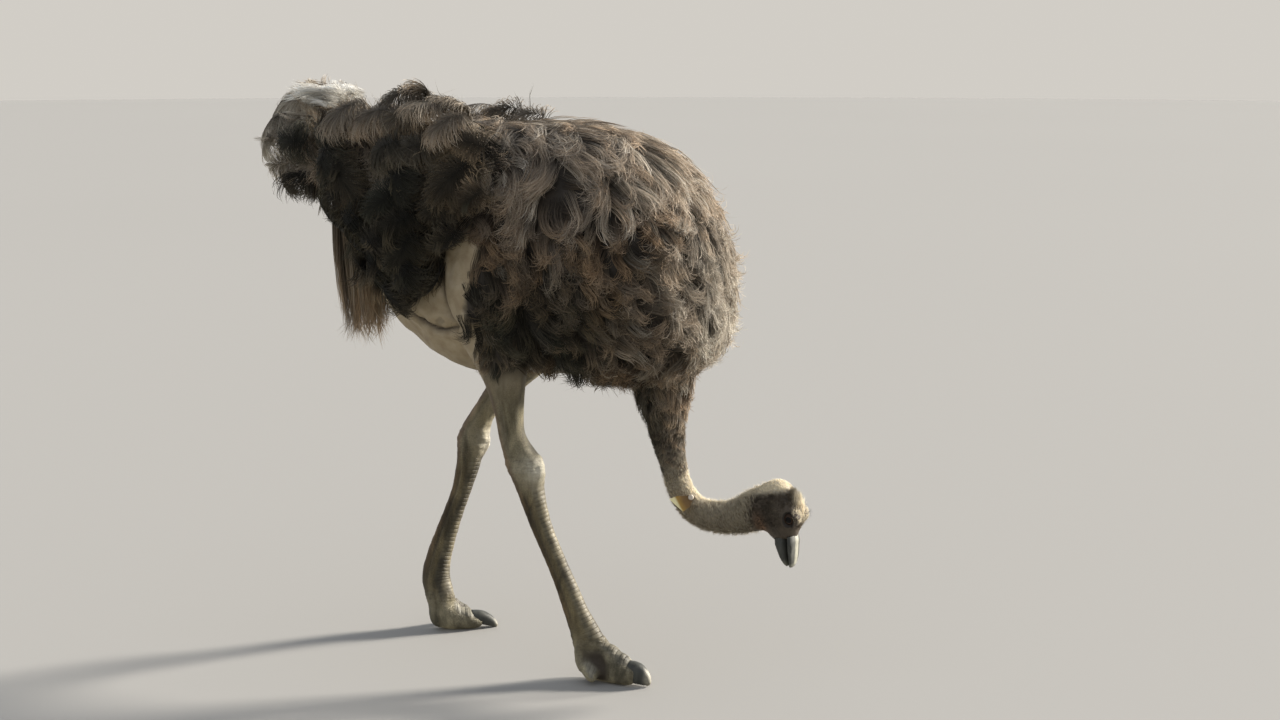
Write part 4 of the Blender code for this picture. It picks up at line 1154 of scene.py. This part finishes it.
def down(name, skin, count, weight, length_of, shade_of, material, width):
    """Short down: tufts of three fine strands that lean with the lie of the neck and head."""
    p, n = skin.scattered(count, weight)
    way = unit(np.gradient(NECK_COURSE, axis=0))[course_of(p, NECK_COURSE)[0]]
    on_head = smooth(to_head(p)[:, :1], -0.075, -0.03)
    # On the head the down lies back from the bill; on the neck it points towards the body.
    lean = level(-(way * (1 - on_head) + HEAD_AXES[:, 0] * on_head), n)
    length = (length_of(p) * rng.uniform(0.7, 1.3, count)).reshape(-1, 1, 1, 1)
    p, n, lean = (value[:, None, None] for value in (p, n, lean))
    strands, k = 3, 4
    strand, vector, ribbon = (count, strands, 1, 1), (count, strands, 1, 3), (count * strands, 1)
    t = np.linspace(0, 1, k)[:, None]
    tilt = rng.uniform(0.45, 1.0, strand)
    aside = np.cross(n, lean) * rng.normal(0, 0.35, strand)
    ahead = unit(lean * tilt + n * (0.95 - 0.60 * tilt) + aside)
    spread = 0.35 * length * unit(rng.normal(size=vector)) * rng.random(strand)
    spread = spread - n * dot(spread, n)
    reach = length * rng.uniform(0.75, 1.1, strand)
    paths = p - n * 0.0008 + spread + ahead * (reach * t)
    bend = unit(rng.normal(size=vector) * 0.5 + lean)
    paths = (paths + bend * (0.35 * reach * t**2)).reshape(-1, k, 3)
    p, n = p[:, 0, 0], n[:, 0, 0]
    face = np.repeat(n, strands, 0)[:, None] + 0.5 * rng.normal(size=(count * strands, 1, 3))
    across = unit(np.cross(unit(np.gradient(paths, axis=1)), face))
    widths = width * rng.uniform(0.7, 1.3, ribbon) * np.array([0.9, 1.0, 0.7, 0.0])
    pale, dark = shade_of(p)
    coat = Coat(name)
    coat.add(paths, across, widths, unwrap(p, NECK_COURSE), rng.random(count), pale, dark)
    coat.make(material)


def neck_and_head_down(skin, material):
    """Sparse hair-like down: brown and grey on the face, cream on the crown and nape, beige on the neck."""
    def on_neck(p):
        masks = skin_masks(p)
        return masks["neck"] * (1 - masks["head"])

    def on_head(p):
        clear = smooth(from_eyes(p), 0.0212, 0.0226).prod(0)
        return skin_masks(p)["head"] * smooth(to_head(p)[:, 0], 0.056, 0.046) * clear

    def neck_length(p):
        return 0.0080 + 0.0050 * smooth(p[:, 0], 0.12, 0.28) + 0.004 * smooth(p[:, 2], 0.50, 0.58)

    def head_length(p):
        x, _, z = to_head(p).T
        length = 0.0050 + 0.0120 * smooth(z, 0.012, 0.032) - 0.0036 * smooth(x, 0.010, 0.045)
        return length * (0.35 + 0.65 * smooth(from_eyes(p), 0.024, 0.033)).prod(0)

    def neck_shade(p):
        x, _, z = p.T
        high = smooth(z, 0.44, 0.58) * (x < 0.13)
        # A painted highlight: the side of the neck that faces the suns is paler.
        ahead = smooth(unit(course_of(p, NECK_COURSE)[1]) @ unit(np.array([0.75, 0.30, 0.45])), 0.35, 0.80)
        low = 1 - smooth(z, 0.44, 0.56)
        pale = 0.20 + (0.36 + 0.14 * smooth(z, 0.40, 0.45)) * low - 0.14 * high + 0.40 * ahead * (1 - high)
        return (pale + 0.06 * rng.normal(size=len(p))).clip(0, 1), 0.35 * high

    def head_shade(p):
        x, _, z = to_head(p).T
        crown, nape = smooth(z, 0.021, 0.034), smooth(x, -0.042, -0.062)
        pale = np.maximum(np.maximum(crown, nape), 0.12 * bell(x + 0.012, 0.026, z + 0.012, 0.016))
        # Painted shade: the underside of the head, away from the nape, is darker.
        dark = 0.55 * (smooth(z, -0.016, -0.030) * smooth(x, -0.060, -0.045)) * (1 - nape)
        return (pale + 0.06 * rng.normal(size=len(p))).clip(0, 1), dark

    down("coat_neck", skin, 8000, on_neck, neck_length, neck_shade, material, 0.0007)
    down("coat_head", skin, 8000, on_head, head_length, head_shade, material, 0.0006)


# ------------------------------------------------------------------ materials


class Graph:
    """Short names for the node calls that the materials use. Text stands for the attribute of that name."""

    def __init__(self, tree):
        self.tree = tree

    def node(self, kind, **values):
        made = self.tree.nodes.new("ShaderNode" + kind)
        for key, value in values.items():
            setattr(made, key, value)
        return made

    def feed(self, socket, value):
        """Sets a socket to a number, a grey or a colour, or links an attribute or another socket to it."""
        if isinstance(value, str):
            value = self.node("Attribute", attribute_name=value).outputs["Fac"]
        if isinstance(value, (int, float)):
            socket.default_value = value
        elif isinstance(value, tuple):
            socket.default_value = value if len(value) == len(socket.default_value) else (*value, 1)
        else:
            self.tree.links.new(value, socket)

    def place(self, stretch=(1, 1, 1)):
        mapping = self.node("Mapping")
        self.feed(mapping.inputs["Scale"], stretch)
        self.feed(mapping.inputs["Vector"], self.node("TexCoord").outputs["Object"])
        return mapping.outputs["Vector"]

    def noise(self, scale, detail=4.0, stretch=(1, 1, 1), distortion=0.0):
        made = self.node("TexNoise")
        self.feed(made.inputs["Vector"], self.place(stretch))
        for key, value in (("Scale", scale), ("Detail", detail), ("Distortion", distortion)):
            self.feed(made.inputs[key], value)
        return made.outputs["Fac"]

    def ramp(self, value, *stops):
        """Colours or greys at places from 0 to 1."""
        made = self.node("ValToRGB")
        elements = made.color_ramp.elements
        while len(elements) < len(stops):
            elements.new(0.5)
        for element, (place, colour) in zip(elements, stops):
            element.position = place
            element.color = (*colour, 1) if isinstance(colour, tuple) else (colour, colour, colour, 1)
        self.feed(made.inputs["Fac"], value)
        return made.outputs["Color"]

    def math(self, operation, *values):
        made = self.node("Math", operation=operation)
        for value, socket in zip(values, made.inputs):
            self.feed(socket, value)
        return made.outputs[0]

    def mix(self, share, a, b, blend="MIX"):
        made = self.node("Mix", data_type="RGBA", blend_type=blend)
        for value, socket in ((share, made.inputs["Factor"]), (a, made.inputs[6]), (b, made.inputs[7])):
            self.feed(socket, value)
        return made.outputs[2]

    def times(self, a, b):
        return self.mix(1.0, a, b, "MULTIPLY")

    def tinted(self, share, colour, tint):
        """The colour, multiplied by a tint where the share says."""
        return self.mix(share, colour, self.times(colour, tint))


class Finish(Graph):
    """A material of one surface shader."""

    def __init__(self, name, roughness, specular=0.3, sheen=0.0, coat=0.0):
        self.material = bpy.data.materials.new(name)
        self.material.use_nodes = True
        super().__init__(self.material.node_tree)
        self.shader = self.tree.nodes["Principled BSDF"]
        self.set("Roughness", roughness)
        self.set("Specular IOR Level", specular)
        self.set("Sheen Weight", sheen)
        self.set("Sheen Roughness", 0.5)
        self.set("Coat Weight", coat)
        self.set("Coat Roughness", 0.05)

    def set(self, name, value):
        self.feed(self.shader.inputs[name], value)

    def bump(self, height, strength, distance):
        made = self.node("Bump")
        for key, value in (("Strength", strength), ("Distance", distance), ("Height", height)):
            self.feed(made.inputs[key], value)
        self.set("Normal", made.outputs["Normal"])

    def let_through(self, share, colour):
        """Gives the colour to thin feathers, which let some of the light behind them through."""
        self.set("Base Color", colour)
        behind, mixed = self.node("BsdfTranslucent"), self.node("MixShader")
        self.feed(behind.inputs["Color"], colour)
        for socket, value in zip(mixed.inputs, (share, self.shader.outputs[0], behind.outputs[0])):
            self.feed(socket, value)
        self.feed(self.tree.nodes["Material Output"].inputs["Surface"], mixed.outputs[0])
        return self.material


def plumage_material():
    """Feather colour from dark root to pale tip, varied from tuft to tuft, with pale and dark places; these hold
    painted light and painted shade as well as the plumage's own paler and darker feathers.
    """
    g = Finish("plumage", 0.75, 0.15, 0.12)
    base = g.ramp("along", (0.0, (0.020, 0.016, 0.013)), (0.40, (0.100, 0.073, 0.051)), (0.95, (0.405, 0.300, 0.203)))
    base = g.times(base, g.ramp("tuft", (0.0, (0.60, 0.59, 0.60)), (0.5, (1.0, 0.98, 0.95)), (1.0, (1.45, 1.34, 1.20))))
    base = g.times(base, g.ramp(g.noise(9.0, 3.0), (0.3, (0.80, 0.79, 0.79)), (0.7, (1.18, 1.17, 1.15))))
    light = g.ramp("along", (0.0, (0.20, 0.17, 0.135)), (0.5, (0.58, 0.53, 0.45)), (1.0, (0.86, 0.83, 0.76)))
    # The dark places take a cool grey-green tint, the colour of painted shade under the sky.
    return g.let_through(0.28, g.tinted("dark", g.mix("pale", base, light), (0.215, 0.275, 0.285)))


def white_material():
    """The white tail plumes, greyer towards their roots."""
    g = Finish("white_plumage", 0.7, 0.15, 0.1)
    base = g.ramp("along", (0.0, (0.50, 0.48, 0.44)), (0.35, (0.84, 0.83, 0.80)), (1.0, (0.95, 0.95, 0.93)))
    return g.let_through(0.25, g.times(base, g.ramp("tuft", (0.0, (0.88, 0.87, 0.86)), (1.0, 1.0))))


def down_material():
    g = Finish("down", 0.8, 0.1, 0.2)
    cream = g.ramp("along", (0.0, (0.42, 0.36, 0.27)), (0.5, (0.80, 0.73, 0.58)), (1.0, (0.97, 0.93, 0.82)))
    brown = g.ramp("along", (0.0, (0.055, 0.044, 0.033)), (1.0, (0.135, 0.108, 0.078)))
    base = g.times(g.mix("pale", brown, cream), g.ramp("tuft", (0.0, 0.78), (1.0, (1.2, 1.18, 1.15))))
    # Darker where the attribute dark says: painted shade on the underside of the head, and darker down high on the
    # neck.
    return g.let_through(0.5, g.mix("dark", base, (0.032, 0.026, 0.020)))


SCUTE_HEIGHT = 0.0105  # of one broad plate on the front of the leg


def skin_material():
    """Skin: dark under the feathers, grey-brown and scaly on the legs, beige on the bare flanks, with painted shade in
    creases and round the eyes and a painted highlight on the hocks.
    """
    g = Finish("skin", 0.62, 0.32)
    mottled, streaked = g.noise(30.0, 6.0), g.noise(38.0, 5.0, (1.0, 1.0, 0.22))
    colour = g.ramp(mottled, (0.3, (0.022, 0.018, 0.014)), (0.7, (0.045, 0.036, 0.028)))
    bare = (0.28, (0.29, 0.225, 0.145)), (0.52, (0.395, 0.325, 0.225)), (0.75, (0.47, 0.40, 0.30))
    leg = (0.25, (0.120, 0.104, 0.066)), (0.5, (0.215, 0.188, 0.124)), (0.78, (0.32, 0.285, 0.205))
    brown = (0.3, (0.115, 0.070, 0.040)), (0.7, (0.240, 0.160, 0.095))
    foot = (0.3, (0.155, 0.140, 0.098)), (0.7, (0.310, 0.280, 0.200))
    neck = (0.3, (0.150, 0.125, 0.090)), (0.7, (0.24, 0.205, 0.155))
    for place, pattern, stops in (
        ("bare", mottled, bare), ("leg", streaked, leg), (g.math("MULTIPLY", "rear", 0.8), streaked, brown),
        ("foot", mottled, foot), ("neck", mottled, neck),
    ):
        colour = g.mix(place, colour, g.ramp(pattern, *stops))
    face = g.ramp(mottled, (0.3, (0.038, 0.030, 0.023)), (0.7, (0.100, 0.080, 0.060)))
    colour = g.mix("head", colour, g.mix("crown", face, (0.62, 0.56, 0.44)))
    plates = g.node("TexVoronoi", feature="DISTANCE_TO_EDGE")
    g.feed(plates.inputs["Scale"], 210.0)
    g.feed(plates.inputs["Vector"], g.place())
    edge = plates.outputs["Distance"]
    tint = g.ramp(edge, (0.0, (0.58, 0.56, 0.53)), (0.10, (1.06, 1.05, 1.03)))
    colour = g.tinted(g.math("MULTIPLY", "leg", 0.85), colour, tint)
    # Scutes: broad plates across the front, one under another, each with a dark seam.
    row = g.math("FRACT", g.math("MULTIPLY", "reach", 1 / SCUTE_HEIGHT))
    worn = g.ramp(g.noise(55.0, 4.0), (0.3, (0.105, 0.097, 0.076)), (0.7, (0.240, 0.226, 0.182)))
    seam = g.ramp(row, (0.0, (0.52, 0.50, 0.47)), (0.2, 1.0), (0.95, (0.90, 0.89, 0.88)))
    colour = g.mix("scute", colour, g.times(worn, seam))
    # A painted highlight: the hocks' knobs are paler, as if sunlit.
    colour = g.mix("knob", colour, g.ramp(mottled, (0.3, (0.30, 0.28, 0.225)), (0.7, (0.66, 0.62, 0.54))))
    stains = g.noise(26.0, 6.0, (1.0, 1.0, 0.28), 0.8)
    stains = g.ramp(stains, (0.36, (0.42, 0.42, 0.41)), (0.50, 0.92), (0.66, (1.42, 1.43, 1.42)))
    colour = g.tinted("low", g.tinted("leg", colour, stains), (0.64, 0.59, 0.49))
    # Painted shade darkens creases, the clefts between the toes, the ear openings and the skin round the eyes; the
    # lids' dark rims, the throat and the rosy patch are the skin's own colours.
    for place, shade in (
        ("crease", (0.040, 0.030, 0.022)), ("throat", (0.36, 0.205, 0.120)),
        ("rosy", (0.40, 0.27, 0.22)), ("rim", (0.022, 0.018, 0.015)),
    ):
        colour = g.mix(place, colour, shade)
    g.set("Base Color", colour)
    height = g.mix(0.3, g.noise(75.0, 5.0, (1.0, 1.0, 2.6), 0.6), g.noise(420.0, 3.0))
    height = g.mix(g.math("MULTIPLY", "leg", 0.6), height, g.ramp(edge, (0.0, 0.0), (0.11, 1.0)))
    g.bump(g.mix("scute", height, g.ramp(row, (0.0, 0.40), (0.16, 0.90), (0.6, 1.0), (0.97, 0.55))), 0.9, 0.0018)
    g.set("Roughness", g.math("MULTIPLY_ADD", mottled, 0.25, 0.45))
    return g.material


def horn_material(name, ridge):
    """Horn: streaked along its growth, paler where the attribute ridge says: a painted highlight along the sunlit ridge
    of the upper bill, and paler tips.
    """
    g = Finish(name, 0.42, 0.4)
    streaks = g.noise(90.0, 5.0, (1.0, 1.0, 0.25))
    horn = g.ramp(streaks, (0.25, (0.026, 0.027, 0.025)), (0.55, (0.052, 0.054, 0.048)), (0.85, (0.095, 0.095, 0.084)))
    worn = g.ramp(g.noise(160.0, 4.0), (0.35, (0.75, 0.74, 0.72)), (0.65, (1.1, 1.1, 1.08)))
    g.set("Base Color", g.mix("ridge", horn, g.times(ridge, worn)))
    g.bump(g.noise(160.0, 4.0, (1.0, 1.0, 0.2)), 0.35, 0.0006)
    g.set("Roughness", g.math("MULTIPLY_ADD", streaks, 0.25, 0.42))
    return g.material


def eye_material():
    g = Finish("eye", 0.09, 0.12, 0.0, 0.05)
    brown = g.ramp(g.noise(500.0, 3.0), (0.3, (0.022, 0.012, 0.007)), (0.7, (0.052, 0.027, 0.014)))
    ring = g.ramp("iris", (0.0, 0.02), (0.46, 0.02), (0.50, 1.0), (0.84, 0.8), (0.98, (0.20, 0.17, 0.15)))
    g.set("Base Color", g.times(brown, ring))
    return g.material


def tag_material():
    """Yellow plastic, with painted shade towards the pin and a painted highlight along the free edge."""
    g = Finish("tag", 0.5, 0.35)
    # Painted shade darkens the face towards the pin, and a painted highlight brightens the free edge.
    shade_near_pin, pale = ((0.0, (0.075, 0.045, 0.025)), (0.50, (0.22, 0.125, 0.040))), (0.78, (0.95, 0.86, 0.52))
    face = g.ramp("edge", *shade_near_pin, (0.70, (0.42, 0.26, 0.06)), pale)
    worn = g.ramp(g.noise(60.0, 5.0), (0.25, (0.8, 0.78, 0.72)), (0.8, 1.15))
    g.set("Base Color", g.times(face, worn))
    g.bump(g.noise(300.0, 2.0), 0.2, 0.0003)
    return g.material


def button_material():
    g = Finish("button", 0.4, 0.4)
    g.set("Base Color", g.ramp(g.noise(120.0, 4.0), (0.3, (0.52, 0.44, 0.36)), (0.7, (0.74, 0.67, 0.58))))
    return g.material


def lash_material():
    g = Finish("lashes", 0.5, 0.3)
    g.set("Base Color", g.ramp("along", (0.0, (0.008, 0.007, 0.006)), (1.0, (0.02, 0.016, 0.013))))
    return g.material


def give(obj, material, slot, *replaced):
    obj.data.materials.clear()
    obj.data.materials.append(material)
    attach(obj, "root")
    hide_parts(*replaced)


# ------------------------------------------------------------------ bill, claws and eyes

BILL_TOP = [
    (BILL_BASE - 0.008, 0.0262, 0.0085, -0.0090), (BILL_BASE + 0.006, 0.0290, 0.0080, -0.0100),
    (0.080, 0.0287, 0.0046, -0.0115), (0.100, 0.0248, 0.0000, -0.0140), (0.115, 0.0188, -0.0050, -0.0170),
    (0.124, 0.0114, -0.0105, -0.0195), (0.1268, 0.0040, -0.0150, -0.0190),
]
BILL_BOTTOM = [
    (BILL_BASE - 0.008, 0.0255, -0.0098, -0.0420), (BILL_BASE + 0.006, 0.0285, -0.0104, -0.0430),
    (0.080, 0.0272, -0.0117, -0.0406), (0.100, 0.0237, -0.0143, -0.0356), (0.114, 0.0172, -0.0170, -0.0302),
    (0.1218, 0.0083, -0.0200, -0.0263),
]


def make_bill(material):
    """Both halves of the bill, with the raised ridge, the nostrils and the nails at the tips."""
    upper = solid("bill_top", head_rings(BILL_TOP, 56, 10, 2.1))
    h = to_head(points_of(upper))
    x, y, z = h.T
    for out in SIDES.values():
        nostril = bell(x - 0.082, 0.0085, z + 0.0015 - 0.25 * (0.082 - x), 0.0020)
        h[:, 1] -= out * 0.0042 * nostril * smooth(out * y, 0.012, 0.016)
    # A painted highlight: the upper bill's ridge is marked to be painted pale, as if sunlit; the same mask raises it a
    # little.
    ridge = smooth(z + 0.25 * (x - 0.08), -0.0020, 0.0045) * (1 - smooth(np.abs(y), 0.0055, 0.0110))
    h[:, 2] += 0.0008 * ridge
    move_points(upper, from_head(h))
    set_value(upper, "ridge", np.maximum(ridge, 0.6 * smooth(x, 0.112, 0.122)))
    give(upper, material, "horn", "bill_upper")
    lower = solid("bill_bottom", head_rings(BILL_BOTTOM, 48, 10))
    x, y, z = to_head(points_of(lower)).T
    c, s = math.cos(math.radians(0.7)), math.sin(math.radians(0.7))  # how far the bill is open
    x, z = np.maximum(x * c + (z + 0.02) * s, BILL_BASE - 0.009), (z + 0.02) * c - x * s - 0.02
    move_points(lower, from_head(xyz(x, y, z)))
    set_value(lower, "ridge", 0.35 * smooth(x, 0.100, 0.118))
    give(lower, material, "horn", "bill_lower")


def make_claws(material):
    for side in SIDES:
        claw = solid("nail_" + side, toe_rings(side, NAIL[side], squareness=2.3))
        move_points(claw, above_floor(points_of(claw)))
        foot, way = foot_of(side)
        last = NAIL[side][-1][0]
        set_value(claw, "ridge", 0.7 * smooth((points_of(claw) - foot) @ way, last - 0.010, last))
        give(claw, material, "horn", "claw_" + side)


def make_eyes(material, lashes):
    for side in SIDES:
        mesh = bmesh.new()
        bmesh.ops.create_uvsphere(mesh, u_segments=48, v_segments=32, radius=EYE_RADIUS)
        data = bpy.data.meshes.new("eyeball_" + side)
        mesh.to_mesh(data)
        mesh.free()
        data.shade_smooth()
        eye = placed("eyeball_" + side, data)
        co = points_of(eye) + HOME
        angle = np.degrees(np.arccos(np.clip(unit(co) @ (HEAD_AXES @ GAZE[side]), -1, 1)))
        set_value(eye, "iris", np.clip(angle / 46, 0, 1))
        move_points(eye, co * (0.985 + 0.040 * bell(angle, 26))[:, None] + EYE[side])
        give(eye, material, "eye", "eye_" + side)
        make_lashes(side, lashes)


def make_lashes(side, material):
    """Black lashes along the upper lid, and a few along the lower."""
    coat = Coat("lashes_" + side)
    gaze = GAZE[side]
    ahead = level(X, gaze)
    above = unit(Z - gaze * gaze[2] - ahead * ahead[2])
    for count, low, high, length in ((52, 0.20, 2.95, 0.0115), (20, 3.6, 5.8, 0.0055)):
        a = (np.linspace(low, high, count) + rng.normal(0, 0.02, count))[:, None]
        u, v = np.cos(a) * LIDS[0] * 1.04, np.sin(a) * LIDS[1] * 1.05
        v = v - LID_DROP * u
        d = ahead * u + above * v + gaze * np.sqrt(np.clip(1 - u**2 - v**2, 0, 1))
        root = to_head(EYE[side]) + d * (EYE_RADIUS + LID_DEPTH)
        way = unit(d * 0.5 + above * (np.sin(a) * 0.5) + ahead * (np.cos(a) * 0.35) + gaze * 0.6)
        t = np.linspace(0, 1, 5)[:, None]
        reach = (length * rng.uniform(0.7, 1.15, count)).reshape(-1, 1, 1)
        curl = above * (np.sign(np.sin(a))[..., None] * 0.35 * reach * t**2)
        paths = root[:, None] + way[:, None] * (reach * t) + curl
        across = np.repeat(unit(np.cross(way, d))[:, None], 5, 1) @ HEAD_AXES.T
        widths = np.tile(0.0006 * np.array([1, 1, 0.8, 0.5, 0.0]), (count, 1))
        place = 0.3 + 0.4 * np.column_stack([np.linspace(0, 1, count), np.full(count, length * 30)])
        coat.add(from_head(paths), across, widths, place, 0.0, 0.0, 1.0)
    coat.make(material)


# ------------------------------------------------------------------ stage


def aimed(name, data, way):
    """A light or camera that looks along a way."""
    obj = placed(name, data)
    obj.rotation_euler = Vector(way).to_track_quat("-Z", "Y").to_euler()
    return obj


def make_camera():
    data = bpy.data.cameras.new("camera")
    data.lens, data.sensor_width = 54.8, 36.0
    azimuth, tilt, distance, height = math.radians(22), math.radians(9.6), 4.46, 1.49
    straight = np.array([-math.sin(azimuth), math.cos(azimuth), 0])
    camera = aimed("camera", data, straight * math.cos(tilt) - Z * math.sin(tilt))
    camera.location = HOME + (0, 0, height) - straight * distance
    bpy.context.scene.camera = camera


def staged(name, mesh, finish):
    data = bpy.data.meshes.new(name)
    mesh.to_mesh(data)
    mesh.free()
    data.materials.append(finish.material)
    obj = placed(name, data)
    return obj


def sun(name, energy, angle, colour, way):
    data = bpy.data.lights.new(name, "SUN")
    data.energy, data.angle, data.color = energy, math.radians(angle), colour
    aimed(name, data, way)


def make_stage():
    """A pale floor that meets a pale backdrop all round, a high and a low light, and a dim even fill."""
    radius, segments = 40, 96
    mesh = bmesh.new()
    bmesh.ops.create_circle(mesh, cap_ends=True, segments=segments, radius=radius)
    g = Finish("floor", 0.9, 0.05)
    g.set("Base Color", g.ramp(g.noise(0.15, 0.0), (0.3, (0.340, 0.334, 0.326)), (0.7, (0.343, 0.337, 0.329))))
    staged("floor", mesh, g).visible_diffuse = False
    mesh = bmesh.new()
    bmesh.ops.create_cone(mesh, cap_ends=False, segments=segments, radius1=radius, radius2=radius, depth=30)
    g = Finish("backdrop", 1.0, 0.0)
    g.set("Base Color", (0, 0, 0, 1))
    g.set("Emission Color", (0.640, 0.612, 0.566, 1))
    g.set("Emission Strength", 1.0)
    wall = staged("backdrop", mesh, g)
    wall.visible_diffuse = wall.visible_glossy = wall.visible_shadow = wall.visible_transmission = False
    world = bpy.data.worlds.new("world")
    bpy.context.scene.world = world
    world.use_nodes = True
    g = Graph(world.node_tree)
    split = g.node("SeparateXYZ")
    g.feed(split.inputs[0], g.node("TexCoord").outputs["Generated"])
    height = g.math("MULTIPLY_ADD", split.outputs["Z"], 0.5, 0.5)
    sky = g.ramp(height, (0.40, (0.34, 0.31, 0.24)), (0.56, (0.68, 0.69, 0.69)), (1.0, (0.56, 0.60, 0.66)))
    g.feed(world.node_tree.nodes["Background"].inputs["Color"], sky)
    sun("key", 5.4, 9, (1.0, 0.93, 0.82), (-0.64, -0.61, -0.48))
    sun("rim", 5.2, 9, (1.0, 0.94, 0.83), (-0.70, -0.71, -0.16))
    bpy.context.scene.view_settings.view_transform = "Standard"


# ------------------------------------------------------------------ assembly

TAG_PIN, TAG_EDGE = np.array([0.143, -0.0400, 0.430]), np.array([0.112, -0.0560, 0.412])


def main():
    make_camera()
    make_stage()
    skin = make_flesh()
    sculpt_head(skin)
    reach, scute, crease = sculpt_legs(skin)
    crease = np.maximum(crease, sculpt_flanks(skin))
    move_points(skin, above_floor(points_of(skin)))
    mark_skin(skin, reach, scute, crease)
    kept = ("bill", "claw", "eye", "neck_tag", "tag_button")
    give(skin, skin_material(), "skin", *[name for name in nodes if not name.startswith(kept)])

    flesh = Surface(skin)
    outline = Surface(*[nodes[name] for name in ("trunk", "neck_base", "neck_middle", "neck_upper", "head")])
    brown = plumage_material()
    body_plumage(flesh, outline, brown)
    for side in SIDES:
        reseed(5)
        wing_plumage(side, brown)
    vent_plumage(flesh, brown)
    reseed(17)
    neck_base_plumage(flesh, brown)
    reseed(33)
    tail_plumage(brown)
    white_plumes(white_material())
    tail_curtain(brown)
    neck_and_head_down(flesh, down_material())

    # The bill's pale ridge colour is a painted highlight.
    make_bill(horn_material("bill_horn", (0.34, 0.335, 0.285)))
    make_claws(horn_material("nail_horn", (0.34, 0.32, 0.27)))
    make_eyes(eye_material(), lash_material())
    # The attribute edge runs from the pin to the free edge, for the tag's painted shade and highlight.
    along_tag = points_of(nodes["neck_tag"]) @ unit(TAG_EDGE - TAG_PIN)
    set_value(nodes["neck_tag"], "edge", (along_tag - along_tag.min()) / np.ptp(along_tag))
    for name, material in (("neck_tag", tag_material()), ("tag_button", button_material())):
        nodes[name].data.materials.clear()
        nodes[name].data.materials.append(material)


main()
